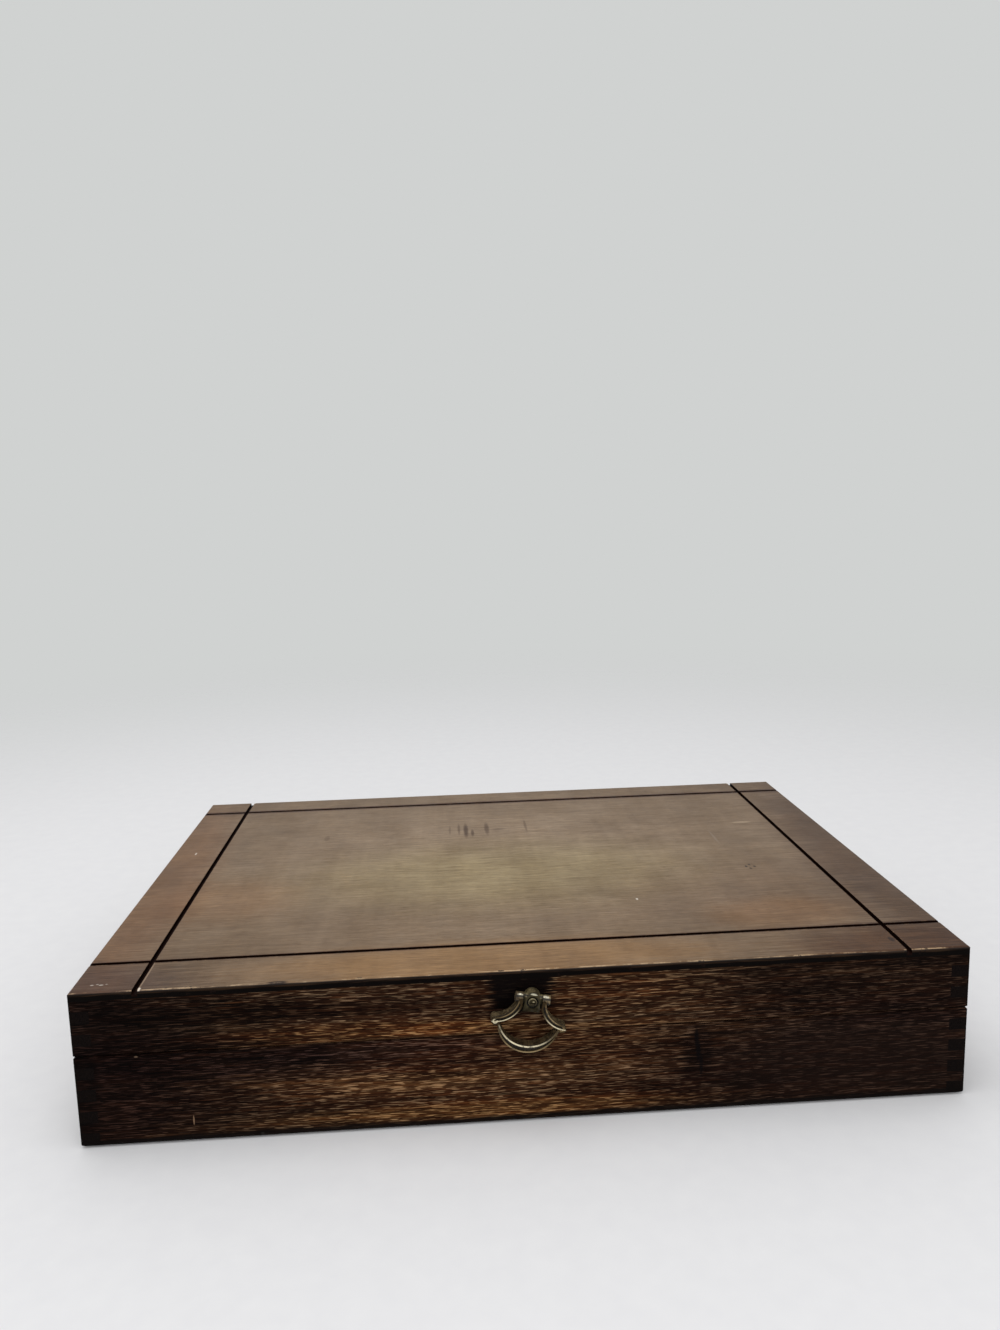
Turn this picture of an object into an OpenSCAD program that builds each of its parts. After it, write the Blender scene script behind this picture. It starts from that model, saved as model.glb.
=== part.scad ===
// Silverware chest: a shallow box of finger-jointed boards with a lift lid, felt-covered racks
// inside, two stop hinges behind and a small bail pull in front.
// The origin is the middle of the underside. X runs along the front, +Y to the back, +Z up.

/* [Chest] */
// Overall width, left to right
chest_w = 400; // [320:5:500]
// Overall depth of the wooden box, front to back
chest_d = 280; // [230:5:360]
// Thickness of the wall boards
wall_t = 8.5; // [8:0.5:12]
// Height of one finger of the corner joints
finger_h = 5.15; // [4.8:0.05:6.5]
// Finger rows in the base frame
base_fingers = 8; // [8:2:12]
// Finger rows in the lid frame
lid_fingers = 5; // [5:2:9]
// How much taller the base's lowest finger row is than the others
foot_extra = 1.6; // [0:0.1:2.5]
// Gap between the closed lid and the base
seam_gap = 0.2; // [0.1:0.05:0.5]
// Chamfer on the outer edges that meet at the seam
seam_chamfer = 0.8; // [0.4:0.1:1.2]
// Rounding of the outer bottom edges
bottom_round = 2.5; // [1:0.5:3.5]
// Rounding of the upright outer corners
corner_round = 0.75; // [0.5:0.25:2]

/* [Panels] */
// Thickness of the top panel
top_t = 3.7; // [3.2:0.1:6]
// Rounding of the top panel's upper edges
top_round = 1.25; // [0.5:0.25:2]
// Width of the saw-cut grooves in the top
groove_w = 2.4; // [1.5:0.1:4]
// Depth of the grooves
groove_deep = 1.8; // [1:0.1:2.4]
// Left groove's centre, in from the left edge
groove_left = 28.5; // [15:0.5:60]
// Right groove's centre, in from the right edge
groove_right = 28.5; // [15:0.5:60]
// Front groove's centre, in from the front edge
groove_front = 28; // [15:0.5:60]
// Back groove's centre, in from the back edge
groove_back = 23.5; // [15:0.5:60]
// Thickness of the bottom panel
bottom_t = 3.6; // [3:0.1:4.4]
// How far the bottom panel is let into the walls
rabbet_w = 4.5; // [3:0.25:4.75]

/* [Lining] */
// Thickness of the felt on its card backing
felt_t = 1.2; // [0.8:0.1:2]
// How far the wall lining stops short of the rim
lining_drop = 1.5; // [1:0.25:4]

/* [Racks] */
// Stacks of spoons and forks that the base racks hold
stacks = 6; // [4:1:8]
// Thickness of a base rack, front to back
rack_t = 16; // [10:1:24]
// Height of a base rack
rack_h = 23; // [18:0.5:26]
// Width of a notch in a base rack
notch_w = 27; // [20:1:32]
// Depth of a notch in a base rack
notch_deep = 16; // [14:0.5:17]
// Softened corners beside a notch
notch_round = 2; // [0.5:0.25:2.25]
// Front rack's middle, back from the front wall
front_rack_in = 50; // [40:1:70]
// Back rack's middle, forward from the back wall
back_rack_in = 74; // [50:1:90]
// Clearance at each end of a rack
rack_end_gap = 0.3; // [0.2:0.05:1]
// Knives that the lid holds
knives = 12; // [8:1:14]
// Width of a blade slot
slot_w = 3.2; // [2.5:0.1:4]
// Depth of a blade slot
slot_deep = 14; // [10:0.5:15]
// Thickness of the blade rack, front to back
blade_rack_t = 24; // [16:1:30]
// Height of the blade rack
blade_rack_h = 18; // [16:0.5:20]
// Blade rack's middle, forward from the back wall
blade_rack_in = 62; // [40:1:90]
// Thickness of the handle rest, front to back
handle_rest_t = 15; // [10:1:24]
// Height of the handle rest
handle_rest_h = 13; // [11:0.5:16]
// Diameter of a scallop in the handle rest
scallop_d = 17; // [14:0.5:20]
// Depth of a scallop
scallop_deep = 7.5; // [5:0.25:9]
// Handle rest's middle, back from the front wall
handle_rest_in = 60; // [40:1:90]

/* [Hinges] */
// Length of a hinge
hinge_l = 38; // [30:1:60]
// Hinge's middle, in from the side of the chest
hinge_in = 64; // [45:1:90]
// Thickness of a leaf
leaf_t = 1.2; // [0.8:0.1:1.6]
// How far a leaf reaches over the wall's edge
leaf_reach = 7.3; // [6.5:0.1:7.5]
// Diameter of the knuckles
knuckle_d = 5.2; // [4.4:0.1:6.5]
// Knuckles in one hinge
knuckles = 5; // [3:2:7]
// Gap between neighbouring knuckles
knuckle_gap = 0.15; // [0.1:0.05:0.3]
// Diameter of the hinge pin
pin_d = 2.4; // [2:0.1:3]
// Radial clearance of the pin in its knuckles
pin_clear = 0.05; // [0.02:0.01:0.09]
// Clearance between the knuckles and whatever turns past them
turn_clear = 0.2; // [0.15:0.05:0.4]
// Angle at which the stops meet
open_angle = 95; // [90:1:105]
// Play left between the stops when the lid is fully open
stop_play = 0.5; // [0.3:0.1:1.5]
// Reach of a stop from the pin's axis
stop_reach = 6.6; // [5.5:0.1:8]
// Thickness of a stop
stop_t = 1.2; // [0.8:0.1:1.6]
// Diameter of the small screws' shanks
screw_d = 2.4; // [2:0.1:2.8]
// Diameter of a countersunk head
screw_head_d = 4.2; // [3.8:0.1:5]
// Length of a hinge screw
screw_l = 11; // [8:0.5:15]
// Distance between the two screws of a leaf
screw_pitch = 22; // [16:1:26]

/* [Pull] */
// Height of the pull's screw above the lid's lower edge
pull_up = 16.8; // [16:0.1:21]
// How far the pull has turned about its screw, right side down
pull_tilt = 11; // [0:1:15]
// Width of the bracket at its foot
bracket_w_low = 8.4; // [7.4:0.1:8.6]
// Width of the bracket across its arched head
bracket_w_high = 7.4; // [6.5:0.1:8]
// Foot of the bracket below the screw
bracket_low = 4.7; // [4:0.1:5.5]
// Head of the bracket above the screw
bracket_high = 4.4; // [4:0.1:5]
// Thickness of the bracket's flange
flange_t = 1.2; // [0.8:0.1:2]
// How far the bracket's body stands in from its flange
flange_step = 0.4; // [0.2:0.1:0.8]
// Depth of the bracket in front of the wood
bracket_deep = 5.6; // [5.2:0.1:6.5]
// Diameter of the seat for the screw's head
seat_d = 5.4; // [5.2:0.1:5.8]
// Depth of that seat
seat_deep = 0.9; // [0.6:0.1:1]
// Diameter of the pull screw's round head
pull_head_d = 4.6; // [4:0.1:5]
// Height of that head
pull_head_h = 1.5; // [1:0.1:2]
// Length of the pull screw in the wood
pull_screw_in = 7; // [5:0.5:7.5]
// Pivot of the bail above the screw
pivot_up = 1; // [0:0.1:1]
// Pivot of the bail in front of the wood
pivot_out = 3.4; // [3.3:0.1:3.8]
// Diameter of the bail's eyes and of the bracket's barrel
eye_d = 4.4; // [4:0.1:5]
// Width of an eye
eye_w = 3.3; // [2.5:0.1:4]
// Half length of the bracket's barrel
barrel_half = 4.15; // [3.9:0.05:4.5]
// Side clearance between the barrel and an eye
eye_gap = 0.25; // [0.15:0.05:0.5]
// Diameter of the pegs that the bail turns on
peg_d = 1.6; // [1.2:0.1:1.8]
// Length of a peg inside the barrel
peg_in = 1.4; // [1:0.1:1.6]
// Depth of the bail, front to back
bail_deep = 5.2; // [4:0.1:5.2]
// Radius of the bail's lower outer arc
bail_out_r = 13.9; // [12:0.1:16]
// Centre of that arc below the pivot
bail_out_down = 10.5; // [9:0.1:12]
// Radius of the bail's lower inner arc
bail_in_r = 13.7; // [12.5:0.1:14.2]
// Centre of that arc below the pivot
bail_in_down = 7.6; // [7:0.1:8]
// Radius of the hollow shoulders
shoulder_r = 10.1; // [9.5:0.1:10.5]
// Width of the bail's strip at the neck
neck_w = 2.3; // [1.8:0.1:2.8]
// Centre of a shoulder's hollow, out from the middle
shoulder_u = 16.2; // [15.8:0.1:16.8]
// Centre of a shoulder's hollow above the pivot
shoulder_v = 0.4; // [0:0.1:1.5]
// Radius of the bead at a shoulder's tip
tip_r = 1.8; // [1.5:0.1:2.2]
// Centre of the bead, out from the middle
tip_u = 14.9; // [14.8:0.1:15.8]
// Centre of the bead below the pivot
tip_down = 11.4; // [10.6:0.1:11.8]
// Rim left beside the groove in the bail's face
rim_w = 0.75; // [0.5:0.05:0.9]
// Depth of the groove in the bail's face
rim_deep = 0.8; // [0.4:0.1:1.2]

/* [Hidden] */
$fn = 72;
// Overshoot of a cut past the face that it opens
over = 1;
// Clearance between a screw and its pilot hole, and round a leaf in its mortise
pilot_clear = 0.05;
leaf_clear = 0.1;
// How far the screw's tip stops short of the end of its pilot hole
pilot_spare = 0.4;
// Share of a screw's length that tapers to its point
tip_share = 0.25;
// Whether the front and back boards' fingers fill the odd rows (1) or the even ones (0)
front_rows_base = 1;
front_rows_lid = 0;

// Height at which a row of fingers starts, when the lowest row is taller by foot
function row_z(row, foot) = row * finger_h + (row > 0 ? foot : 0);

base_h = row_z(base_fingers, foot_extra);
lid_z = base_h + seam_gap;
lid_frame_h = row_z(lid_fingers, 0);
top_z = lid_z + lid_frame_h;
inner_w = chest_w - 2 * wall_t;
inner_d = chest_d - 2 * wall_t;
floor_z = bottom_t + felt_t;
ceiling_z = top_z - felt_t;
rack_l = inner_w - 2 * felt_t - 2 * rack_end_gap;
pin_r = pin_d / 2;
knuckle_r = knuckle_d / 2;
screw_r = screw_d / 2;
eye_r = eye_d / 2;
peg_r = peg_d / 2;
pin_y = chest_d / 2 + knuckle_r + turn_clear;
pin_z = base_h + seam_gap / 2;
leaf_screw_y = chest_d / 2 - leaf_reach / 2;
pull_z = lid_z + pull_up;
eye_in = barrel_half + eye_gap;
eye_out = eye_in + eye_w;

walnut = [0.25, 0.17, 0.11];
walnut_end = [0.15, 0.10, 0.07];
walnut_top = [0.45, 0.37, 0.30];
plywood = [0.36, 0.27, 0.19];
felt = [0.34, 0.06, 0.09];
brass = [0.45, 0.38, 0.24];
old_brass = [0.40, 0.36, 0.26];

// ---------- Shared shapes ----------

// What comes off a corner at the origin, with the material in the first quadrant, to round it
module round_off(r) {
    difference() {
        translate([-over, -over]) square(r + over);
        translate([r, r]) circle(r);
    }
}

// The same for a chamfer
module chamfer_off(c) {
    polygon([[-over, -over], [c + over, -over], [-over, c + over]]);
}

// A rectangle that stands on the X axis, with its lower and upper corners rounded or chamfered
module eased_rect(w, h, low_round = 0, high_round = 0, low_chamfer = 0, high_chamfer = 0) {
    difference() {
        translate([-w / 2, 0]) square([w, h]);
        for (side = [0, 1]) mirror([side, 0]) translate([-w / 2, 0]) {
            if (low_round > 0) round_off(low_round);
            if (low_chamfer > 0) chamfer_off(low_chamfer);
            if (high_round > 0) translate([0, h]) mirror([0, 1]) round_off(high_round);
            if (high_chamfer > 0) translate([0, h]) mirror([0, 1]) chamfer_off(high_chamfer);
        }
    }
}

// The chest's outline as a block of height h with eased edges all round
module eased_block(h, low_round = 0, high_round = 0, low_chamfer = 0, high_chamfer = 0) {
    intersection() {
        rotate([90, 0, 0]) linear_extrude(chest_d, center = true)
            eased_rect(chest_w, h, low_round, high_round, low_chamfer, high_chamfer);
        rotate([90, 0, 90]) linear_extrude(chest_w, center = true)
            eased_rect(chest_d, h, low_round, high_round, low_chamfer, high_chamfer);
        linear_extrude(h) translate([0, -chest_d / 2])
            eased_rect(chest_w, chest_d, corner_round, corner_round);
    }
}

module base_outline() eased_block(base_h, low_round = bottom_round, high_chamfer = seam_chamfer);

module lid_outline() eased_block(lid_frame_h, low_chamfer = seam_chamfer);

// A board along X with fingers at both ends. Its fingers fill the rows whose number is odd
// or even, as own says, and the other rows are cut away for the side boards' fingers.
module long_board(rows, own, foot = 0) {
    difference() {
        translate([-chest_w / 2, 0, 0]) cube([chest_w, wall_t, row_z(rows, foot)]);
        for (row = [0 : rows - 1]) if (row % 2 != own)
            for (side = [0, 1]) mirror([side, 0, 0])
                translate([inner_w / 2, -over, row_z(row, foot)])
                    cube([wall_t + over, wall_t + 2 * over, row_z(row + 1, foot) - row_z(row, foot)]);
    }
}

// A side board along Y, whose fingers fill the rows that the long boards leave
module side_board(rows, own, foot = 0) {
    difference() {
        translate([0, -chest_d / 2, 0]) cube([wall_t, chest_d, row_z(rows, foot)]);
        for (row = [0 : rows - 1]) if (row % 2 != own)
            for (side = [0, 1]) mirror([0, side, 0])
                translate([-over, inner_d / 2, row_z(row, foot)])
                    cube([wall_t + 2 * over, wall_t + over, row_z(row + 1, foot) - row_z(row, foot)]);
    }
}

// The space that the bottom panel fills in the foot of the walls
module rabbet(spill = 0) {
    w = inner_w + 2 * rabbet_w;
    d = inner_d + 2 * rabbet_w;
    translate([-w / 2, -d / 2, -spill]) cube([w, d, bottom_t + spill]);
}

// Gives its children once for each hinge, at the hinge's middle on the pin's axis
module at_hinge(side) {
    translate([side * (chest_w / 2 - hinge_in), pin_y, pin_z]) children();
}

// Gives its children at the screws of one leaf, on the face of the wood's edge at height z
module at_leaf_screws(z) {
    for (side = [-1, 1], end = [-1, 1])
        translate([side * (chest_w / 2 - hinge_in) + end * screw_pitch / 2, leaf_screw_y, z])
            children();
}

// A countersunk screw that points down from the origin, with its head flush there
module leaf_screw() {
    point_l = screw_l * tip_share;
    difference() {
        union() {
            translate([0, 0, -leaf_t]) cylinder(r1 = screw_r, r2 = screw_head_d / 2, h = leaf_t);
            translate([0, 0, point_l - screw_l]) cylinder(r = screw_r, h = screw_l - point_l - leaf_t);
            translate([0, 0, -screw_l]) cylinder(r1 = screw_r / 5, r2 = screw_r, h = point_l);
        }
        cube([screw_head_d + over, screw_d / 4, leaf_t * 0.8], center = true);
    }
}

// The hole that such a screw needs in the wood
module leaf_pilot() {
    translate([0, 0, -screw_l - pilot_spare]) cylinder(r = screw_r + pilot_clear, h = screw_l + pilot_spare + over);
}

// The pocket for a leaf in the edge of a back board, open at the top and at the back
module leaf_mortise(z) {
    for (side = [-1, 1])
        translate([
            side * (chest_w / 2 - hinge_in) - hinge_l / 2 - leaf_clear,
            chest_d / 2 - leaf_reach - leaf_clear,
            z - leaf_t
        ]) cube([hinge_l + 2 * leaf_clear, leaf_reach + leaf_clear + over, leaf_t + over]);
}

// ---------- Base ----------

module base_wall(at) {
    difference() {
        intersection() {
            translate(at) children();
            base_outline();
        }
        rabbet(over);
    }
}

module base_front() {
    color(walnut) base_wall([0, -chest_d / 2, 0]) long_board(base_fingers, front_rows_base, foot_extra);
}

module base_back() {
    color(walnut) difference() {
        base_wall([0, inner_d / 2, 0]) long_board(base_fingers, front_rows_base, foot_extra);
        leaf_mortise(base_h);
        at_leaf_screws(base_h) leaf_pilot();
    }
}

module base_left() {
    color(walnut_end) base_wall([-chest_w / 2, 0, 0]) side_board(base_fingers, 1 - front_rows_base, foot_extra);
}

module base_right() {
    color(walnut_end) base_wall([inner_w / 2, 0, 0]) side_board(base_fingers, 1 - front_rows_base, foot_extra);
}

module base_bottom() {
    color(plywood) rabbet();
}

// ---------- Lining ----------

module flat_lining(z) {
    translate([-inner_w / 2, -inner_d / 2, z]) cube([inner_w, inner_d, felt_t]);
}

module wall_lining(z, h) {
    difference() {
        translate([-inner_w / 2, -inner_d / 2, z]) cube([inner_w, inner_d, h]);
        translate([felt_t - inner_w / 2, felt_t - inner_d / 2, z - over])
            cube([inner_w - 2 * felt_t, inner_d - 2 * felt_t, h + 2 * over]);
    }
}

module base_floor_lining() {
    color(felt) flat_lining(bottom_t);
}

module base_wall_lining() {
    color(felt) wall_lining(floor_z, base_h - lining_drop - floor_z);
}

module lid_ceiling_lining() {
    color(felt) flat_lining(ceiling_z);
}

module lid_wall_lining() {
    color(felt) wall_lining(lid_z + lining_drop, ceiling_z - lid_z - lining_drop);
}

// ---------- Racks ----------

// A bar along X of height h, with count copies of the cut-out that is its child, drawn as a
// profile whose origin lies on the bar's upper edge
module notched_bar(t, h, count) {
    pitch = rack_l / count;
    rotate([90, 0, 0]) linear_extrude(t, center = true) difference() {
        translate([-rack_l / 2, 0]) square([rack_l, h]);
        for (i = [0 : count - 1]) translate([(i + 0.5) * pitch - rack_l / 2, h]) children();
    }
}

// A notch with straight sides, a round bottom and softened upper corners
module round_notch(w, deep, soft) {
    straight = deep - w / 2;
    lip = min(soft, straight - 0.1);
    translate([0, -straight]) circle(d = w);
    translate([-w / 2, -straight]) square([w, straight + over]);
    if (lip > 0) for (side = [0, 1]) mirror([side, 0]) translate([w / 2, 0]) mirror([0, 1]) round_off(lip);
}

module scallop() {
    translate([0, scallop_d / 2 - scallop_deep]) circle(d = scallop_d);
}

module base_rack() {
    notched_bar(rack_t, rack_h, stacks) round_notch(notch_w, notch_deep, notch_round);
}

module front_rack() {
    color(felt) translate([0, front_rack_in - inner_d / 2, floor_z]) base_rack();
}

module back_rack() {
    color(felt) translate([0, inner_d / 2 - back_rack_in, floor_z]) base_rack();
}

module blade_rack() {
    color(felt) translate([0, inner_d / 2 - blade_rack_in, ceiling_z]) mirror([0, 0, 1])
        notched_bar(blade_rack_t, blade_rack_h, knives) round_notch(slot_w, slot_deep, slot_w / 2);
}

module handle_rest() {
    color(felt) translate([0, handle_rest_in - inner_d / 2, ceiling_z]) mirror([0, 0, 1])
        notched_bar(handle_rest_t, handle_rest_h, knives) scallop();
}

// ---------- Hinges ----------

// A cylinder of radius r along X over knuckle number i, longer at each end by spread
module knuckle_rod(r, i, spread) {
    pitch = hinge_l / knuckles;
    translate([i * pitch - hinge_l / 2 - spread, 0, 0])
        rotate([0, 90, 0]) cylinder(r = r, h = pitch + 2 * spread);
}

// A flat stop that stands out radially behind the barrel. Its upper face lies on the ray at
// angle a above the horizontal, and it is joined to the knuckles whose number is own.
module stop_tab(a, own) {
    pitch = hinge_l / knuckles;
    gap = knuckle_gap / 2;
    rotate([a, 0, 0]) {
        translate([-hinge_l / 2, knuckle_r + turn_clear, -stop_t])
            cube([hinge_l, stop_reach - knuckle_r - turn_clear, stop_t]);
        for (i = [own : 2 : knuckles - 1])
            translate([i * pitch - hinge_l / 2 + gap, knuckle_r / 2, -stop_t])
                cube([pitch - 2 * gap, knuckle_r / 2 + 2 * turn_clear, stop_t]);
    }
}

// One leaf in the base's position, with the pin's axis as X. The plate lies in its mortise
// under the seam, and its knuckles are the ones whose number is own, odd or even.
module leaf(own) {
    plate_d = leaf_reach + pin_y - chest_d / 2;
    difference() {
        union() {
            difference() {
                translate([-hinge_l / 2, -plate_d, -seam_gap / 2 - leaf_t])
                    cube([hinge_l, plate_d, leaf_t]);
                for (i = [1 - own : 2 : knuckles - 1])
                    knuckle_rod(knuckle_r + turn_clear, i, knuckle_gap / 2);
            }
            for (i = [own : 2 : knuckles - 1]) knuckle_rod(knuckle_r, i, -knuckle_gap / 2);
            stop_tab(-open_angle / 2 - stop_play / 2, own);
        }
        translate([-hinge_l / 2 - over, 0, 0])
            rotate([0, 90, 0]) cylinder(r = pin_r + pin_clear, h = hinge_l + 2 * over);
        for (end = [-1, 1]) translate([end * screw_pitch / 2, leaf_screw_y - pin_y, -seam_gap / 2])
            translate([0, 0, -leaf_t]) cylinder(
                r1 = screw_r + pilot_clear,
                r2 = screw_head_d / 2 + pilot_clear,
                h = leaf_t
            );
    }
}

// The pin, with a peened head at each end of the barrel
module hinge_pin() {
    head_h = pin_r * 0.6;
    rotate([0, 90, 0]) {
        cylinder(r = pin_r, h = hinge_l + 2 * pin_clear, center = true);
        for (side = [0, 1]) mirror([0, 0, side])
            translate([0, 0, hinge_l / 2 + pin_clear]) cylinder(r1 = pin_r * 1.6, r2 = pin_r * 1.1, h = head_h);
    }
}

module base_leaf(side) {
    color(brass) at_hinge(side) leaf(0);
}

module lid_leaf(side) {
    color(brass) at_hinge(side) mirror([0, 0, 1]) leaf(1);
}

module left_base_leaf() base_leaf(-1);

module right_base_leaf() base_leaf(1);

module left_lid_leaf() lid_leaf(-1);

module right_lid_leaf() lid_leaf(1);

module left_hinge_pin() {
    color(brass) at_hinge(-1) hinge_pin();
}

module right_hinge_pin() {
    color(brass) at_hinge(1) hinge_pin();
}

module base_leaf_screws() {
    color(brass) at_leaf_screws(base_h) leaf_screw();
}

module lid_leaf_screws() {
    color(brass) at_leaf_screws(lid_z) mirror([0, 0, 1]) leaf_screw();
}

// ---------- Lid ----------

module lid_wall(at) {
    translate([0, 0, lid_z]) intersection() {
        translate(at) children();
        lid_outline();
    }
}

module lid_front() {
    color(walnut) difference() {
        lid_wall([0, -chest_d / 2, 0]) long_board(lid_fingers, front_rows_lid);
        at_pull() forward(-pull_screw_in - pilot_spare, over) circle(screw_r + pilot_clear);
    }
}

module lid_back() {
    color(walnut) difference() {
        lid_wall([0, inner_d / 2, 0]) long_board(lid_fingers, front_rows_lid);
        translate([0, 0, 2 * lid_z]) mirror([0, 0, 1]) leaf_mortise(lid_z);
        at_leaf_screws(lid_z) mirror([0, 0, 1]) leaf_pilot();
    }
}

module lid_left() {
    color(walnut_end) lid_wall([-chest_w / 2, 0, 0]) side_board(lid_fingers, 1 - front_rows_lid);
}

module lid_right() {
    color(walnut_end) lid_wall([inner_w / 2, 0, 0]) side_board(lid_fingers, 1 - front_rows_lid);
}

module lid_top() {
    color(walnut_top) translate([0, 0, top_z]) difference() {
        eased_block(top_t, high_round = top_round);
        for (x = [groove_left - chest_w / 2, chest_w / 2 - groove_right])
            translate([x - groove_w / 2, -chest_d, top_t - groove_deep])
                cube([groove_w, 2 * chest_d, groove_deep + over]);
        for (y = [groove_front - chest_d / 2, chest_d / 2 - groove_back])
            translate([-chest_w, y - groove_w / 2, top_t - groove_deep])
                cube([2 * chest_w, groove_w, groove_deep + over]);
    }
}

// ---------- Pull ----------
// The pull is drawn in its own frame: the origin is where the screw enters the wood, X runs
// along the bail's pivot, Z up its middle, and the wood's face is the plane Y = 0.

module at_pull() {
    translate([0, -chest_d / 2, pull_z]) rotate([0, pull_tilt, 0]) children();
}

// Extrudes a profile forward, from one distance in front of the wood to another
module forward(from, to) {
    translate([0, -from, 0]) rotate([90, 0, 0]) linear_extrude(to - from) children();
}

// A rod along the pivot, between two distances from the middle
module pivot_rod(r, from, to) {
    translate([from, -pivot_out, pivot_up]) rotate([0, 90, 0]) cylinder(r = r, h = to - from);
}

// The bracket's outline: a tapering foot under an arched head, drawn in by inset
module bracket_outline(inset) {
    head_r = bracket_w_high / 2 - inset;
    low_half = bracket_w_low / 2 - inset;
    arch_v = bracket_high - bracket_w_high / 2;
    translate([0, arch_v]) circle(head_r);
    polygon([
        [-low_half, inset - bracket_low],
        [low_half, inset - bracket_low],
        [head_r, arch_v],
        [-head_r, arch_v]
    ]);
}

module pull_bracket() {
    color(old_brass) at_pull() difference() {
        union() {
            forward(0, flange_t) bracket_outline(0);
            forward(flange_t / 2, bracket_deep) bracket_outline(flange_step);
            pivot_rod(eye_r, -barrel_half, barrel_half);
        }
        forward(-over, bracket_deep + over) circle(screw_r + pilot_clear);
        forward(bracket_deep - seat_deep, bracket_deep + over) circle(d = seat_d);
        for (side = [0, 1]) mirror([side, 0, 0])
            pivot_rod(peg_r + pin_clear, barrel_half - peg_in - pilot_spare / 2, barrel_half + over);
    }
}

// A round-headed screw that holds the bracket to the lid's front
module pull_screw() {
    head_r = pull_head_d / 2;
    dome_r = (head_r * head_r + pull_head_h * pull_head_h) / (2 * pull_head_h);
    seat_y = bracket_deep - seat_deep;
    point_l = pull_screw_in * tip_share;
    color(old_brass) at_pull() difference() {
        union() {
            translate([0, -seat_y, 0]) rotate([90, 0, 0]) intersection() {
                translate([0, 0, pull_head_h - dome_r]) sphere(dome_r);
                cylinder(r = head_r, h = pull_head_h);
            }
            forward(point_l - pull_screw_in, seat_y) circle(screw_r);
            translate([0, pull_screw_in - point_l, 0]) rotate([-90, 0, 0])
                cylinder(r1 = screw_r, r2 = screw_r / 5, h = point_l);
        }
        forward(seat_y + pull_head_h * 0.6, seat_y + pull_head_h + over)
            square([pull_head_d + over, screw_d / 4], center = true);
    }
}

// The discs that hollow the bail's shoulders, of radius r
module shoulder_discs(r) {
    for (side = [-1, 1]) translate([side * shoulder_u, shoulder_v]) circle(r);
}

module tip_beads(r) {
    for (side = [-1, 1]) translate([side * tip_u, -tip_down]) circle(r);
}

// The bail's outline, with its origin at the pivot: a round foot below two hollow shoulders
// that run up to the necks, and a bead at the tip of each shoulder
module bail_outline() {
    neck_out = shoulder_u - shoulder_r + neck_w / 4;
    difference() {
        union() {
            translate([0, -bail_out_down]) circle(bail_out_r);
            polygon([[-neck_out, 0], [neck_out, 0], [tip_u, tip_r - tip_down], [tip_u, -tip_r / 2 - tip_down],
                [-tip_u, -tip_r / 2 - tip_down], [-tip_u, tip_r - tip_down]]);
            tip_beads(tip_r);
        }
        shoulder_discs(shoulder_r);
        translate([-bail_out_r, 0]) square(2 * bail_out_r);
        difference() {
            translate([0, -bail_in_down]) circle(bail_in_r);
            shoulder_discs(shoulder_r + neck_w);
        }
        translate([-eye_in, -bail_in_down]) square([2 * eye_in, bail_in_down + over]);
    }
}

// The groove between the two rims on the bail's face
module bail_groove() {
    intersection() {
        difference() {
            translate([0, -bail_out_down]) circle(bail_out_r - rim_w);
            translate([0, -bail_in_down]) circle(bail_in_r + rim_w);
        }
        translate([-tip_u, -bail_out_down - bail_out_r]) square([2 * tip_u, bail_out_r]);
    }
    difference() {
        intersection() {
            shoulder_discs(shoulder_r + neck_w - rim_w);
            translate([-tip_u, -tip_down]) square([2 * tip_u, tip_down - eye_r]);
        }
        shoulder_discs(shoulder_r + rim_w);
        translate([-eye_in - rim_w, -tip_down]) square([2 * (eye_in + rim_w), tip_down]);
    }
}

module pull_bail() {
    back = pivot_out - bail_deep / 2;
    front = pivot_out + bail_deep / 2;
    color(old_brass) at_pull() {
        difference() {
            translate([0, 0, pivot_up]) forward(back, front) bail_outline();
            translate([0, 0, pivot_up]) forward(front - rim_deep, front + over) bail_groove();
        }
        for (side = [0, 1]) mirror([side, 0, 0]) {
            pivot_rod(eye_r, eye_in, eye_out);
            pivot_rod(peg_r, barrel_half - peg_in, eye_in + eye_w / 2);
        }
    }
}

base_front();
base_back();
base_left();
base_right();
base_bottom();
base_floor_lining();
base_wall_lining();
front_rack();
back_rack();
left_base_leaf();
right_base_leaf();
left_hinge_pin();
right_hinge_pin();
base_leaf_screws();
lid_front();
lid_back();
lid_left();
lid_right();
lid_top();
lid_ceiling_lining();
lid_wall_lining();
blade_rack();
handle_rest();
left_lid_leaf();
right_lid_leaf();
lid_leaf_screws();
pull_bracket();
pull_screw();
pull_bail();
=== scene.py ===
"""A silverware chest: stained boards, a grooved top, wine-red felt inside and old brass.

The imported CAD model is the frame. Its boards, hinges and pull are kept and given their
finishes; the felt linings and the felt-covered racks are modelled here as soft pieces.
Sizes are in millimetres, and are turned into metres where they meet Blender.
"""

import logging
import math
from contextlib import contextmanager
from dataclasses import dataclass, replace
from enum import Enum
from typing import Callable, Iterable, Iterator, Optional, Union

import bmesh
import bpy
from mathutils import Matrix, Vector


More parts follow.
